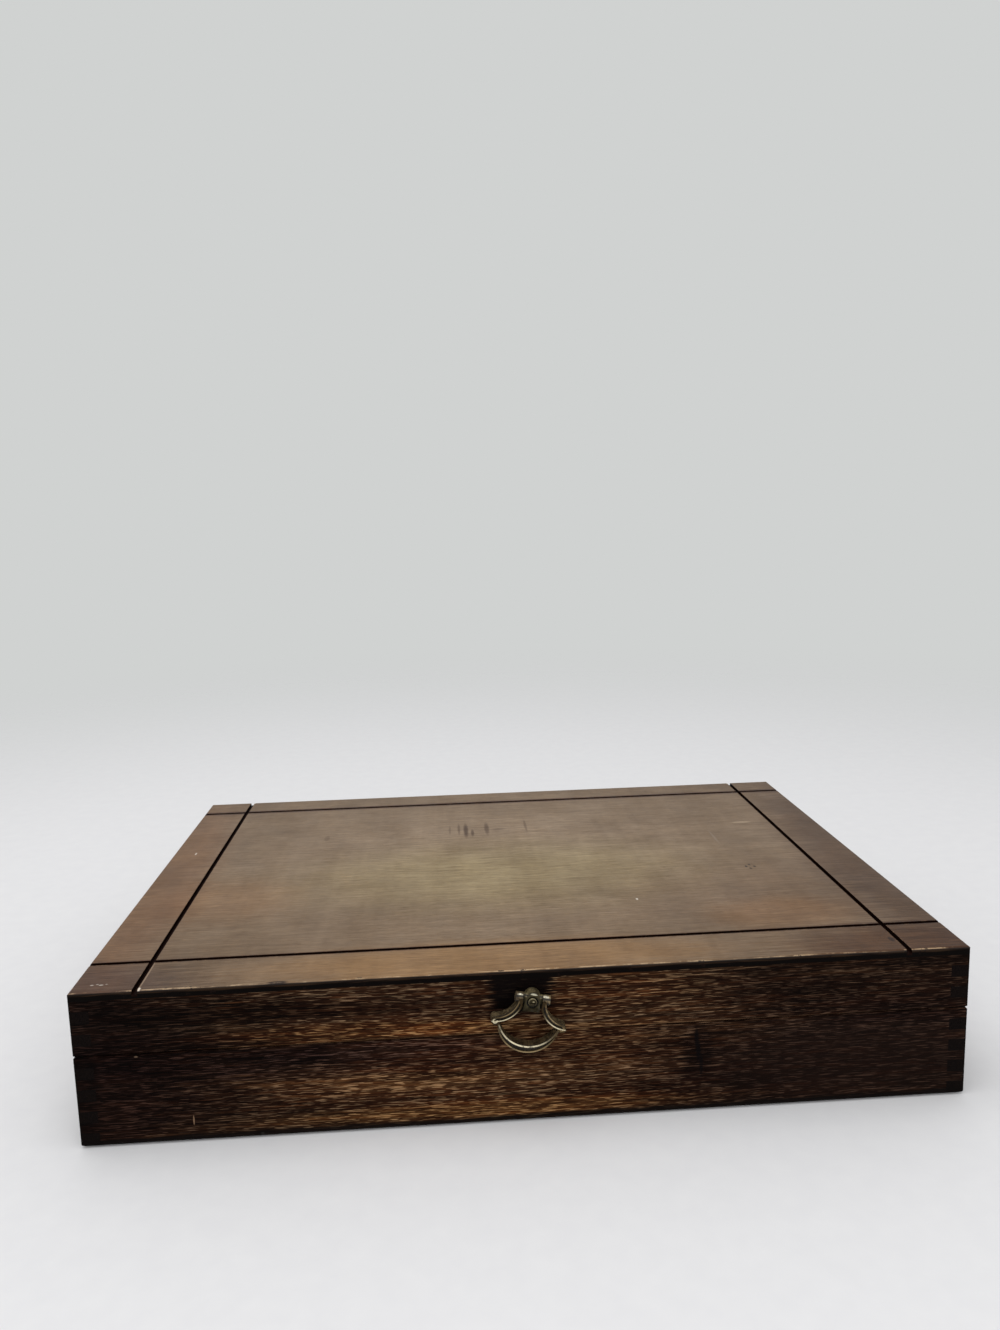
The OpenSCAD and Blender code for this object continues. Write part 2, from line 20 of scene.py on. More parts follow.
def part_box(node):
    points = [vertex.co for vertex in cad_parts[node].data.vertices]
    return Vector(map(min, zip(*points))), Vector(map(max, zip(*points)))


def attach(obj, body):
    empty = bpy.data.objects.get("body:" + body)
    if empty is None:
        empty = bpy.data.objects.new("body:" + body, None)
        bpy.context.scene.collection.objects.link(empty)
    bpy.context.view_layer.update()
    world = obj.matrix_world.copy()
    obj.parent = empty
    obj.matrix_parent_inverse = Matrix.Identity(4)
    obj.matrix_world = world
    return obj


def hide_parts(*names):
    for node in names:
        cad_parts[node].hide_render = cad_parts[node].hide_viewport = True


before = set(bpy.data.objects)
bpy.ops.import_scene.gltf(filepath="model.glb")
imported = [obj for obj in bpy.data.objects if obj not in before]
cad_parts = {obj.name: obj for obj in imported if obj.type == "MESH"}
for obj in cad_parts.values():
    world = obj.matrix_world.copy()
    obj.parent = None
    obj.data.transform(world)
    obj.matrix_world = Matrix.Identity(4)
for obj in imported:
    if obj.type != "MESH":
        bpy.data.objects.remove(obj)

LOG = logging.getLogger("silverware_chest")
MM = 0.001

# In metres: what counts as one place, what is only rounding, and what a long edge exceeds
NEAR = 1e-5
HAIR = 1e-6
LONG = 0.01
# How much of its normal a face has along the axis that it looks along
SQUARE_ON = 0.99

Tone = tuple[float, float, float]
Vec = tuple[float, float, float]
Pair = tuple[float, float]
Input = Union["Term", float, int, tuple]
Piece = bpy.types.Object
Material = bpy.types.Material


class Body(Enum):
    """The parts of the chest that move against each other."""

    CHEST = "chest"
    LID = "lid"
    BAIL = "bail"


class Axis(Enum):
    """A direction of the chest: along its front, towards its back, or up."""

    X = 0
    Y = 1
    Z = 2


class Lay(Enum):
    """How a mark lies on the wood: over it, or as a glaze that the grain shows through."""

    COVER = "MIX"
    GLAZE = "MULTIPLY"


class Wall(Enum):
    """The walls of the box; its two sides are alike."""

    FRONT = "front"
    SIDE = "side"
    BACK = "back"


class Half(Enum):
    """The two halves of the box, by the first word of their boards' names."""

    BASE = "base"
    LID = "lid"


class Kind(Enum):
    """The elements of a mesh, by the names of their lists."""

    VERT = "verts"
    EDGE = "edges"
    FACE = "faces"


def tone(red: float, green: float, blue: float) -> Tone:
    """Turns a colour as seen on a screen into the linear light that shaders use.

    Args:
        red: The red part, 0 to 255.
        green: The green part, 0 to 255.
        blue: The blue part, 0 to 255.

    Returns:
        The same colour as three linear numbers.
    """

    def linear(part: float) -> float:
        """One channel, by the screen's own curve."""
        share = part / 255
        return share / 12.92 if share <= 0.04045 else ((share + 0.055) / 1.055) ** 2.4

    return linear(red), linear(green), linear(blue)


# ---------- Shader expressions ----------


def operator(operation: str, turned: bool = False) -> Callable[..., "Term"]:
    """Makes one of the operators of Term.

    Args:
        operation: The Math or Vector Math operation.
        turned: Whether the other term comes first.

    Returns:
        The method.
    """

    def method(self: "Term", other: Input = 0.0) -> "Term":
        """Joins this term and another term, number or triple."""
        vector = self.is_vector or isinstance(other, tuple) or getattr(other, "is_vector", False)
        if vector and isinstance(other, (int, float)):
            other = (other, other, other)
        first, second = (other, self) if turned else (self, other)
        kind = "ShaderNodeVectorMath" if vector else "ShaderNodeMath"
        return self.nodes.node(kind, {"operation": operation}, {0: first, 1: second})

    return method


class Term:
    """A shader socket that takes part in Python expressions.

    A number's operators add Math nodes, and a vector's add Vector Math nodes.
    """

    __add__ = operator("ADD")
    __radd__ = operator("ADD", True)
    __sub__ = operator("SUBTRACT")
    __rsub__ = operator("SUBTRACT", True)
    __mul__ = operator("MULTIPLY")
    __rmul__ = operator("MULTIPLY", True)
    __truediv__ = operator("DIVIDE")
    __rtruediv__ = operator("DIVIDE", True)
    __pow__ = operator("POWER")
    __abs__ = operator("ABSOLUTE")
    least = operator("MINIMUM")
    most = operator("MAXIMUM")

    def __init__(self, nodes: "Nodes", socket: bpy.types.NodeSocket) -> None:
        """Wraps an output socket of one of these nodes."""
        self.nodes = nodes
        self.socket = socket

    @property
    def is_vector(self) -> bool:
        """Whether the socket carries a vector."""
        return self.socket.type == "VECTOR"

    def smooth(self, start: float, end: float, low: float = 0.0, high: float = 1.0) -> "Term":
        """Eases from one value to another as this term goes from start to end.

        Args:
            start: Where the rise begins; it may be above end, for a fall.
            end: Where it is over.
            low: The value at start.
            high: The value at end.

        Returns:
            The eased value, which stays level beyond both ends.
        """
        if start > end:
            start, end, low, high = end, start, high, low
        sockets = {0: self, 1: start, 2: end, 3: low, 4: high}
        return self.nodes.node("ShaderNodeMapRange", {"interpolation_type": "SMOOTHSTEP"}, sockets)

    def under(self, cover: Input, share: Input, lay: Lay = Lay.COVER) -> "Term":
        """This colour with another one on it, of which this share shows, 0 to 1."""
        return self.nodes.mix(self, cover, share, lay)

    def twin(self, output: Union[int, str]) -> "Term":
        """Another output of the node that this one belongs to."""
        return Term(self.nodes, self.socket.node.outputs[output])

    def parts(self) -> tuple["Term", "Term", "Term"]:
        """The three parts of a vector."""
        first = self.nodes.node("ShaderNodeSeparateXYZ", {}, {0: self})
        return first, first.twin(1), first.twin(2)

    def in_mm(self) -> tuple["Term", ...]:
        """The three parts of a place in metres, turned into mm."""
        return tuple(part * (1 / MM) for part in self.parts())


class Nodes:
    """A node tree, and the few ways in which nodes are added to it."""

    def __init__(self, tree: bpy.types.NodeTree, ending: str) -> None:
        """Empties a tree and gives it its output node.

        Args:
            tree: The tree of a material or of the world.
            ending: The output node's type.
        """
        tree.nodes.clear()
        self.tree = tree
        self.output = tree.nodes.new(ending)

    def node(self, kind: str, settings: dict, sockets: dict, output: Union[int, str] = 0) -> Term:
        """Adds a node.

        Args:
            kind: The node's type.
            settings: Its own settings, set first; "stops" are a ramp's places and colours.
            sockets: Values or terms for its input sockets, by number or name.
            output: The output that is wanted, by number or name.

        Returns:
            That output.
        """
        made = self.tree.nodes.new(kind)
        for key, value in settings.items():
            if key == "stops":
                ramp = made.color_ramp.elements
                while len(ramp) > 1:
                    ramp.remove(ramp[0])
                for number, (place, colour) in enumerate(value):
                    stop = ramp[0] if number == 0 else ramp.new(place)
                    stop.position, stop.color = place, (*colour, 1.0)
            else:
                setattr(made, key, value)
        for key, value in sockets.items():
            self.feed(made.inputs[key], value)
        return Term(self, made.outputs[output])

    def feed(self, socket: bpy.types.NodeSocket, value: Input) -> None:
        """Gives an input socket its value or its link.

        Args:
            socket: The input.
            value: A term, a number, or a triple for a vector or a colour.
        """
        if isinstance(value, Term):
            self.tree.links.new(value.socket, socket)
        elif socket.type == "RGBA" and len(value) == 3:
            socket.default_value = (*value, 1.0)
        else:
            socket.default_value = value

    def show(self, surface: Term) -> None:
        """Links what is to be seen to the output node."""
        self.feed(self.output.inputs[0], surface)

    def noise(self, where: Term, detail: float = 2.0, roughness: float = 0.5, twist: float = 0.0) -> Term:
        """Cloudy noise around 0.5, whose features are about one unit of where in size."""
        pattern = {"Scale": 1.0, "Detail": detail, "Roughness": roughness, "Distortion": twist}
        return self.node("ShaderNodeTexNoise", {"noise_dimensions": "3D"}, {"Vector": where, **pattern})

    def mix(self, first: Input, second: Input, share: Input, lay: Lay = Lay.COVER) -> Term:
        """Mixes two colours, of which this share of the second one shows, 0 to 1."""
        settings = {"data_type": "RGBA", "blend_type": lay.value, "clamp_factor": True}
        return self.node("ShaderNodeMix", settings, {0: share, 6: first, 7: second}, 2)

    def ramp(self, value: Term, stops: list[tuple[float, Tone]]) -> Term:
        """Turns a number into a colour by a ramp with these stops."""
        return self.node("ShaderNodeValToRGB", {"stops": stops}, {0: value})

    def wave(self, value: Term, crest: float) -> Term:
        """Folds a number, so that it goes up to crest and down to 0 again and again."""
        return self.node("ShaderNodeMath", {"operation": "PINGPONG"}, {0: value, 1: crest})


class Recipe(Nodes):
    """The nodes of a material that is round one shader."""

    def __init__(self, name: str) -> None:
        """Starts a material of this name with its shader."""
        self.material = bpy.data.materials.new(name)
        self.material.use_nodes = True
        super().__init__(self.material.node_tree, "ShaderNodeOutputMaterial")
        self.shader = self.node("ShaderNodeBsdfPrincipled", {}, {})
        self.show(self.shader)

    def finish(self, **sockets: Input) -> None:
        """Feeds the shader's inputs, named with underscores for the spaces in their names."""
        for key, value in sockets.items():
            self.feed(self.shader.socket.node.inputs[key.replace("_", " ")], value)

    def spot(self) -> Term:
        """The place on the piece, in metres in the chest's frame."""
        return self.node("ShaderNodeTexCoord", {}, {}, 3)

    def bump(self, height: Term, depth: float, strength: float = 1.0) -> Term:
        """Turns a height, 0 to 1, into a surface of that depth in mm."""
        sockets = {"Height": height, "Distance": depth * MM, "Strength": strength}
        return self.node("ShaderNodeBump", {}, sockets)


class Finish:
    """What every finish has: a name, and a material that is mixed when it is wanted."""

    name: str

    def material(self) -> Material:
        """Mixes the finish."""
        recipe = Recipe(self.name)
        self.fill(recipe, recipe.spot())
        return recipe.material

    def fill(self, recipe: Recipe, spot: Term) -> None:
        """Feeds the recipe's shader.

        Args:
            recipe: The finish's recipe.
            spot: The place on the piece, in metres.
        """
        raise NotImplementedError


# ---------- Wood ----------


@dataclass(frozen=True)
class Mark:
    """A stain, rub, nick or streak at one place of a face, or painted shade, sheen or highlight there.

    Attributes:
        across: Its middle along the face's first axis, in mm.
        up: Its middle along the second axis, in mm.
        half: Half its size along the two axes, in mm.
        colour: Its colour, or for a glaze what the wood's colour is multiplied by.
        strength: How much of it shows.
        soft: The share of its radius over which it fades.
        ragged: How far the grain breaks up its edge.
        lay: Whether it covers the wood or glazes it.
        square: Whether it is boxy and not round.
    """

    across: float
    up: float
    half: Pair
    colour: Tone
    strength: float = 1.0
    soft: float = 0.7
    ragged: float = 0.8
    lay: Lay = Lay.GLAZE
    square: bool = False

    def mask(self, across: Term, up: Term, rag: Term) -> Term:
        """Where the mark shows.

        Args:
            across: The place along the first axis, in mm.
            up: The place along the second axis, in mm.
            rag: A streaky noise around zero.

        Returns:
            A number from 0 to strength.
        """
        power = 4 if self.square else 2
        side = (abs(across - self.across) / self.half[0]) ** power
        rise = (abs(up - self.up) / self.half[1]) ** power
        reach = (side + rise) ** (1 / power) + rag * self.ragged
        return reach.smooth(1.0 + self.soft / 2, 1.0 - self.soft / 2, 0.0, self.strength)


@dataclass(frozen=True)
class Ring:
    """A painted highlight, or a darker band, that follows part of a circle.

    Attributes:
        across: The circle's centre along the face's first axis, in mm.
        up: Its centre along the second axis, in mm.
        radius: Its radius, in mm.
        half: Half the band's width, in mm.
        middle: Where along the first axis the glint is brightest, in mm.
        reach: How far it runs from there along that axis, in mm.
        below: The height along the second axis under which it shows, in mm.
        colour: Its colour.
        strength: How much of it shows.
        lay: Whether it covers the metal or glazes it.
    """

    across: float
    up: float
    radius: float
    half: float
    middle: float
    reach: float
    below: float
    colour: Tone
    strength: float = 1.0
    lay: Lay = Lay.COVER

    def mask(self, across: Term, up: Term, rag: Term) -> Term:
        """Where the glint shows.

        Args:
            across: The place along the first axis, in mm.
            up: The place along the second axis, in mm.
            rag: A noise around zero.

        Returns:
            A number from 0 to strength.
        """
        side, rise = across - self.across, up - self.up
        away = abs((side * side + rise * rise) ** 0.5 - self.radius)
        run = abs(across - self.middle) / self.reach + rag * 0.5
        share = away.smooth(self.half + 0.12, self.half - 0.12) * run.smooth(1.2, 0.3)
        return share * up.smooth(self.below + 0.5, self.below - 0.5, 0.0, self.strength)


def covering(*marks: Mark) -> tuple[Mark, ...]:
    """The same marks, lying over the surface and not glazing it."""
    return tuple(replace(mark, lay=Lay.COVER) for mark in marks)


def paint(
    colour: Term,
    marks: Iterable[Union[Mark, Ring]],
    place: tuple[Term, Term],
    rag: Term,
    shown: Optional[Term] = None,
) -> Term:
    """Paints marks on a colour, in their order.

    Args:
        colour: The colour so far.
        marks: The marks.
        place: The place along the two axes that they are given in, in mm.
        rag: A noise around zero that breaks up their edges.
        shown: Where they show at all, or None for everywhere.

    Returns:
        The colour with the marks on it.
    """
    for mark in marks:
        share = mark.mask(*place, rag)
        if shown is not None:
            share = share * shown
        colour = colour.under(mark.colour, share, mark.lay)
    return colour


@dataclass(frozen=True)
class Streaks:
    """The wood's own figure, with the sizes of its streaks in mm along and across the grain.

    Attributes:
        wander: The slow waves in which the grain runs.
        wander_by: How far these push it aside, in mm.
        figure: The broad light and dark areas.
        bands: The bands in them.
        lines: The fine lines.
        pores: The open pores.
        seed: A number that makes this wood differ from the next.
    """

    wander: Pair = (210.0, 60.0)
    wander_by: float = 1.6
    figure: Pair = (250.0, 15.0)
    bands: Pair = (64.0, 2.0)
    lines: Pair = (17.0, 0.52)
    pores: Pair = (6.2, 0.36)
    seed: float = 0.0

    def scaled(self, spot: Term, size: Pair, grain: Axis, shift: float = 0.0) -> Term:
        """Scales a place to one unit a streak; shift moves the pattern, so that layers differ."""
        rate = [1 / (size[1] * MM)] * 3
        rate[grain.value] = 1 / (size[0] * MM)
        return spot * tuple(rate) + (self.seed + shift, 2 * self.seed - shift, shift)

    def layers(self, spot: Term, grain: Axis) -> dict[str, Term]:
        """Makes the layers of figure.

        Args:
            spot: The place in metres.
            grain: The grain's direction.

        Returns:
            The layers by name, each a number around 0.5, and "rag" around zero.
        """
        noise = spot.nodes.noise
        sway = (noise(self.scaled(spot, self.wander, grain), 1.0) - 0.5) * (2 * self.wander_by * MM)
        push = [1.0, 1.0, 1.0]
        push[grain.value] = 0.0
        aside = spot.nodes.node("ShaderNodeVectorMath", {"operation": "SCALE"}, {0: tuple(push), 3: sway})
        bent = spot + aside
        lines = noise(self.scaled(bent, self.lines, grain, 7.3), 2.0, 0.55)
        return {
            "figure": noise(self.scaled(bent, self.figure, grain, 1.7), 3.0, 0.55, 0.3),
            "bands": noise(self.scaled(bent, self.bands, grain, 4.1), 3.0, 0.6),
            "lines": lines,
            "pores": noise(self.scaled(bent, self.pores, grain, 11.9), 1.0, 0.4),
            "hollows": noise(self.scaled(bent, self.pores, grain, 23.4), 1.0, 0.4),
            "rag": lines - 0.5,
        }


@dataclass(frozen=True)
class Walnut(Finish):
    """A board of dark stained wood with open pores, as the chest's walls are made of.

    Attributes:
        name: The finish's name.
        grain: The direction of its grain.
        face: The two axes in which its marks are given.
        tones: The stain from its darkest streaks to its lightest.
        dust: The colour of the pale pores.
        dusty: How strongly these show.
        marks: What has happened to this board.
        rows: The height of the first finger's foot and of one finger, in mm.
        end: The distance from the middle at which the end grain starts, in mm.
        finger: How far in from there the glue lines fade in, in mm.
        foot: The height of the painted shade band along the board's foot, or None.
        gloss: The shader's specular level.
        rough: Its mean roughness.
        relief: How deep its pores and lines are, in mm.
        streaks: The figure's sizes.
    """

    name: str
    grain: Axis
    face: tuple[Axis, Axis]
    tones: tuple[Tone, ...]
    dust: Tone = tone(156, 127, 97)
    dusty: float = 0.64
    marks: tuple[Mark, ...] = ()
    rows: Pair = (6.75, 5.15)
    end: float = 199.2
    finger: Pair = (7.9, 7.5)
    foot: Optional[float] = None
    gloss: float = 0.03
    rough: float = 0.58
    relief: float = 0.22
    streaks: Streaks = Streaks()

    def fill(self, recipe: Recipe, spot: Term) -> None:
        """Feeds the recipe's shader.

        Args:
            recipe: The finish's recipe.
            spot: The place on the piece, in metres.
        """
        places = spot.in_mm()
        layer = self.streaks.layers(spot, self.grain)
        shade = layer["figure"] * 0.30 + layer["bands"] * 0.20 + layer["lines"] * 0.50
        colour = recipe.ramp(shade, list(zip((0.34, 0.47, 0.57, 0.71), self.tones)))
        colour = colour.under((1.13, 0.98, 0.86), layer["bands"].smooth(0.47, 0.60), Lay.GLAZE)
        colour = colour.under((1.05, 0.94, 0.92), layer["figure"].smooth(0.53, 0.44), Lay.GLAZE)
        hollow = layer["hollows"].smooth(0.54, 0.64)
        colour = colour.under((0.40, 0.31, 0.29), hollow * 0.8, Lay.GLAZE)
        pale = layer["pores"].smooth(0.565, 0.65) * shade.smooth(0.40, 0.56, 0.4, 1.0)
        colour = colour.under(self.dust, pale * self.dusty)
        across, up = (places[axis.value] for axis in self.face)
        colour = paint(colour, self.marks, (across, up), layer["rag"])
        colour, end = self._ends(colour, spot, places, layer["rag"])
        # Painted shade: a near-black band along the foot, where the rounded lower edge turns away from the
        # light.
        if self.foot is not None:
            low = (places[2] + layer["rag"] * 2).smooth(self.foot + 0.7, self.foot - 0.7)
            colour = colour.under(tone(13, 9, 8), low * 0.93)
        height = 0.6 + layer["lines"] * 0.35 - hollow * 0.45 - pale * 0.2
        recipe.finish(
            Base_Color=colour,
            Roughness=layer["bands"] * 0.25 + (self.rough - 0.125) + end * 0.1,
            Specular_IOR_Level=self.gloss,
            Normal=recipe.bump(height, self.relief, 0.8),
        )

    def _ends(self, colour: Term, spot: Term, places: tuple[Term, ...], rag: Term) -> tuple[Term, Term]:
        """Darkens the end grain and the glue lines between the fingers.

        Args:
            colour: The colour so far.
            spot: The place in metres.
            places: Its three parts, in mm.
            rag: A streaky noise around zero.

        Returns:
            The colour, and where it is end grain.
        """
        along = abs(places[self.grain.value])
        end = along.smooth(self.end - 0.2, self.end + 0.2)
        speck = spot.nodes.noise(spot * 1400.0, 2.0)
        grime = spot.nodes.ramp(speck, [(0.35, tone(6, 4, 4)), (0.62, tone(17, 12, 11))])
        colour = colour.under(grime, end * 0.97)
        first, height = self.rows
        phase = spot.nodes.wave(places[2] - first, height / 2)
        inward, outward = (self.end - reach for reach in self.finger)
        joint = (phase + rag * 0.2).smooth(0.28, 0.12) * along.smooth(inward, outward)
        joint = joint * places[2].smooth(first - 1.0, first - 0.5)
        return colour.under(tone(10, 7, 7), joint * 0.85), end


@dataclass(frozen=True)
class GroovedTop(Finish):
    """The lid's veneered top panel, with its four black saw cuts and its worn rim.

    Attributes:
        name: The finish's name.
        tones: The veneer from its darkest streaks to its lightest.
        marks: The stains and rubs on it, and a painted sheen across its middle.
        cuts_x: The grooves that run front to back, by their place across, in mm.
        cuts_y: The grooves that run side to side, by their place from front to back, in mm.
        cut_half: Half a groove's width, at its outer and its inner limit, in mm.
        cut_foot: How far under the upper face a groove ends, at its two limits, in mm.
        half: Half the panel's size, in mm.
        under: The height of the panel's underside, in mm.
        over: The height of its upper face, in mm.
        relief: How deep its pores and lines are, in mm.
        streaks: The veneer's figure.
    """

    name: str
    tones: tuple[Tone, Tone, Tone]
    marks: tuple[Mark, ...]
    cuts_x: Pair = (-171.5, 171.5)
    cuts_y: Pair = (-112.0, 116.5)
    cut_half: Pair = (1.27, 1.21)
    cut_foot: Pair = (3.0, 2.4)
    half: Pair = (200.0, 140.0)
    under: float = 68.75
    over: float = 72.45
    relief: float = 0.12
    streaks: Streaks = Streaks(
        wander_by=8.0, figure=(170, 30), bands=(90, 5.0), lines=(24, 1.0), pores=(6, 0.42), seed=3.7
    )

    def fill(self, recipe: Recipe, spot: Term) -> None:
        """Feeds the recipe's shader.

        Args:
            recipe: The finish's recipe.
            spot: The place on the piece, in metres.
        """
        x, y, z = spot.in_mm()
        layer = self.streaks.layers(spot, Axis.X)
        cloud = recipe.noise(spot * (34.0, 26.0, 30.0) + (5.0, 1.0, 0.0), 5.0, 0.6)
        wiped = recipe.noise(spot * (210.0, 9.0, 30.0) + (1.0, 6.0, 0.0), 2.0, 0.5)
        shade = layer["figure"] * 0.08 + cloud * 0.17 + wiped * 0.035
        shade = shade + layer["bands"] * 0.05 + layer["lines"] * 0.21 + 0.2275
        colour = recipe.ramp(shade, list(zip((0.42, 0.5, 0.58), self.tones)))
        hollow = layer["hollows"].smooth(0.55, 0.66)
        colour = colour.under((0.66, 0.60, 0.55), hollow * 0.6, Lay.GLAZE)
        colour = colour.under((1.35, 1.30, 1.2), layer["pores"].smooth(0.56, 0.68) * 0.5, Lay.GLAZE)
        colour = paint(colour, self.marks, (x, y), layer["rag"])
        chips = recipe.noise(spot * 260.0, 3.0, 0.6)
        left, right = (abs(x - place) for place in self.cuts_x)
        front, back = (abs(y - place) for place in self.cuts_y)
        near = left.least(right).least(front.least(back))
        # Darker round the cuts: stain along their rims, and round the back cut a wide band of painted
        # shade.
        stained = back.smooth(4.2, 2.0) * 0.97 + front.smooth(2.4, 1.5) * 0.55
        stained = stained + near.smooth(2.0, 1.2) * 0.16
        colour = colour.under((0.34, 0.19, 0.13), stained, Lay.GLAZE)
        pale_rim = (near + chips * 2.4).smooth(2.55, 2.25) * near.smooth(1.1, 1.25)
        colour = colour.under(tone(150, 118, 88), pale_rim * 0.55)
        colour = self._rim(colour, (x, y, z), chips, layer)
        foot, start = (self.over - depth for depth in self.cut_foot)
        cut = near.smooth(*self.cut_half) * z.smooth(foot, start)
        smear = recipe.noise(spot * (46.0, 26.0, 30.0) + (9.0, 2.0, 0.0), 3.0, 0.6)
        face = (1.0 - cut) * z.smooth(self.over - 1.3, self.over - 0.3)
        height = 0.6 + layer["lines"] * 0.3 - hollow * 0.4 - pale_rim * 0.8
        recipe.finish(
            Base_Color=colour.under(tone(22, 8, 5), cut),
            Roughness=smear * 0.30 + 0.35,
            Specular_IOR_Level=0.03,
            Coat_Weight=face * smear.smooth(0.34, 0.66, 0.28, 0.46),
            Coat_Roughness=0.42,
            Normal=recipe.bump(height, self.relief, 0.7),
        )

    def _rim(self, colour: Term, place: tuple[Term, ...], chips: Term, layer: dict[str, Term]) -> Term:
        """Paints the panel's edge band, with painted shade in its lower part, and the wear along its upper
        arris.

        Args:
            colour: The face's colour.
            place: The place, in mm.
            chips: A fine noise that breaks up the wear.
            layer: The figure's layers.

        Returns:
            The colour with its rim.
        """
        x, y, z = place
        inset = (self.half[0] - abs(x)).least(self.half[1] - abs(y))
        side = z.smooth(self.over - 0.3, self.over - 0.6) * inset.smooth(0.8, 0.4)
        ply = colour.nodes.mix(tone(22, 14, 10), tone(44, 31, 21), layer["lines"].smooth(0.44, 0.6))
        # The band's lower part goes near-black: the ply's dark glue line together with painted shade.
        glue = (z + layer["rag"] * 1.4).smooth(self.under + 2.5, self.under + 1.9)
        colour = colour.under(ply.under(tone(8, 5, 4), glue), side)
        arris = inset.smooth(0.95, 0.7) * z.smooth(self.over - 0.5, self.over - 0.3)
        worn = arris * (chips * 0.8 + layer["lines"] * 1.2).smooth(0.97, 1.17)
        colour = colour.under(tone(186, 159, 126), worn * y.smooth(-100.0, -138.0, 0.12, 0.72))
        nick = inset.smooth(1.5, 0.9) * (chips + layer["rag"] * 0.3).smooth(0.64, 0.69)
        return colour.under(tone(22, 13, 10), nick * 0.85)


@dataclass(frozen=True)
class BottomPly(Finish):
    """The thin plywood let into the foot of the chest, stained and scuffed."""

    name: str = "bottom_plywood"
    streaks: Streaks = Streaks(figure=(200, 26), bands=(80, 6), lines=(26, 1.6), pores=(4, 0.5), seed=8.1)

    def fill(self, recipe: Recipe, spot: Term) -> None:
        """Feeds the recipe's shader.

        Args:
            recipe: The finish's recipe.
            spot: The place on the piece, in metres.
        """
        layer = self.streaks.layers(spot, Axis.X)
        shade = layer["figure"] * 0.5 + layer["bands"] * 0.3 + layer["lines"] * 0.2
        tones = tone(64, 45, 30), tone(84, 61, 42), tone(104, 79, 55)
        colour = recipe.ramp(shade, list(zip((0.38, 0.5, 0.62), tones)))
        scuff = recipe.noise(spot * 60.0, 4.0, 0.65)
        colour = colour.under(tone(122, 100, 76), scuff.smooth(0.56, 0.70) * 0.4)
        recipe.finish(
            Base_Color=colour.under(tone(30, 22, 17), layer["hollows"].smooth(0.58, 0.68) * 0.6),
            Roughness=scuff * 0.2 + 0.6,
            Specular_IOR_Level=0.2,
            Normal=recipe.bump(layer["lines"], 0.15),
        )


# ---------- Felt and brass ----------


@dataclass(frozen=True)
class Felt(Finish):
    """Wool felt: matted short fibres with a soft nap that has been pressed in places.

    Attributes:
        name: The finish's name.
        deep: The colour between the fibres.
        worn: The colour of the fibres on top.
        lift: How deep the nap is, in mm.
    """

    name: str
    deep: Tone = tone(62, 13, 20)
    worn: Tone = tone(112, 31, 38)
    lift: float = 0.16

    def fill(self, recipe: Recipe, spot: Term) -> None:
        """Feeds the recipe's shader.

        Args:
            recipe: The finish's recipe.
            spot: The place on the piece, in metres.
        """
        fibre = recipe.noise(spot * 1900.0, 3.0, 0.65, 1.6)
        tuft = recipe.noise(spot * 420.0, 2.0, 0.6, 0.8)
        cloud = recipe.noise(spot * 34.0 + (3.0, 0.0, 8.0), 3.0, 0.6)
        nap = fibre * 0.5 + tuft * 0.3 + cloud * 0.2
        colour = recipe.ramp(nap, [(0.36, self.deep), (0.64, self.worn)])
        recipe.finish(
            Base_Color=colour.under(tone(150, 78, 80), fibre.smooth(0.66, 0.78) * 0.35),
            Roughness=cloud * 0.1 + 0.85,
            Specular_IOR_Level=0.12,
            Sheen_Weight=0.25,
            Sheen_Roughness=0.5,
            Sheen_Tint=tone(190, 130, 130),
            Normal=recipe.bump(nap, self.lift * 2),
        )


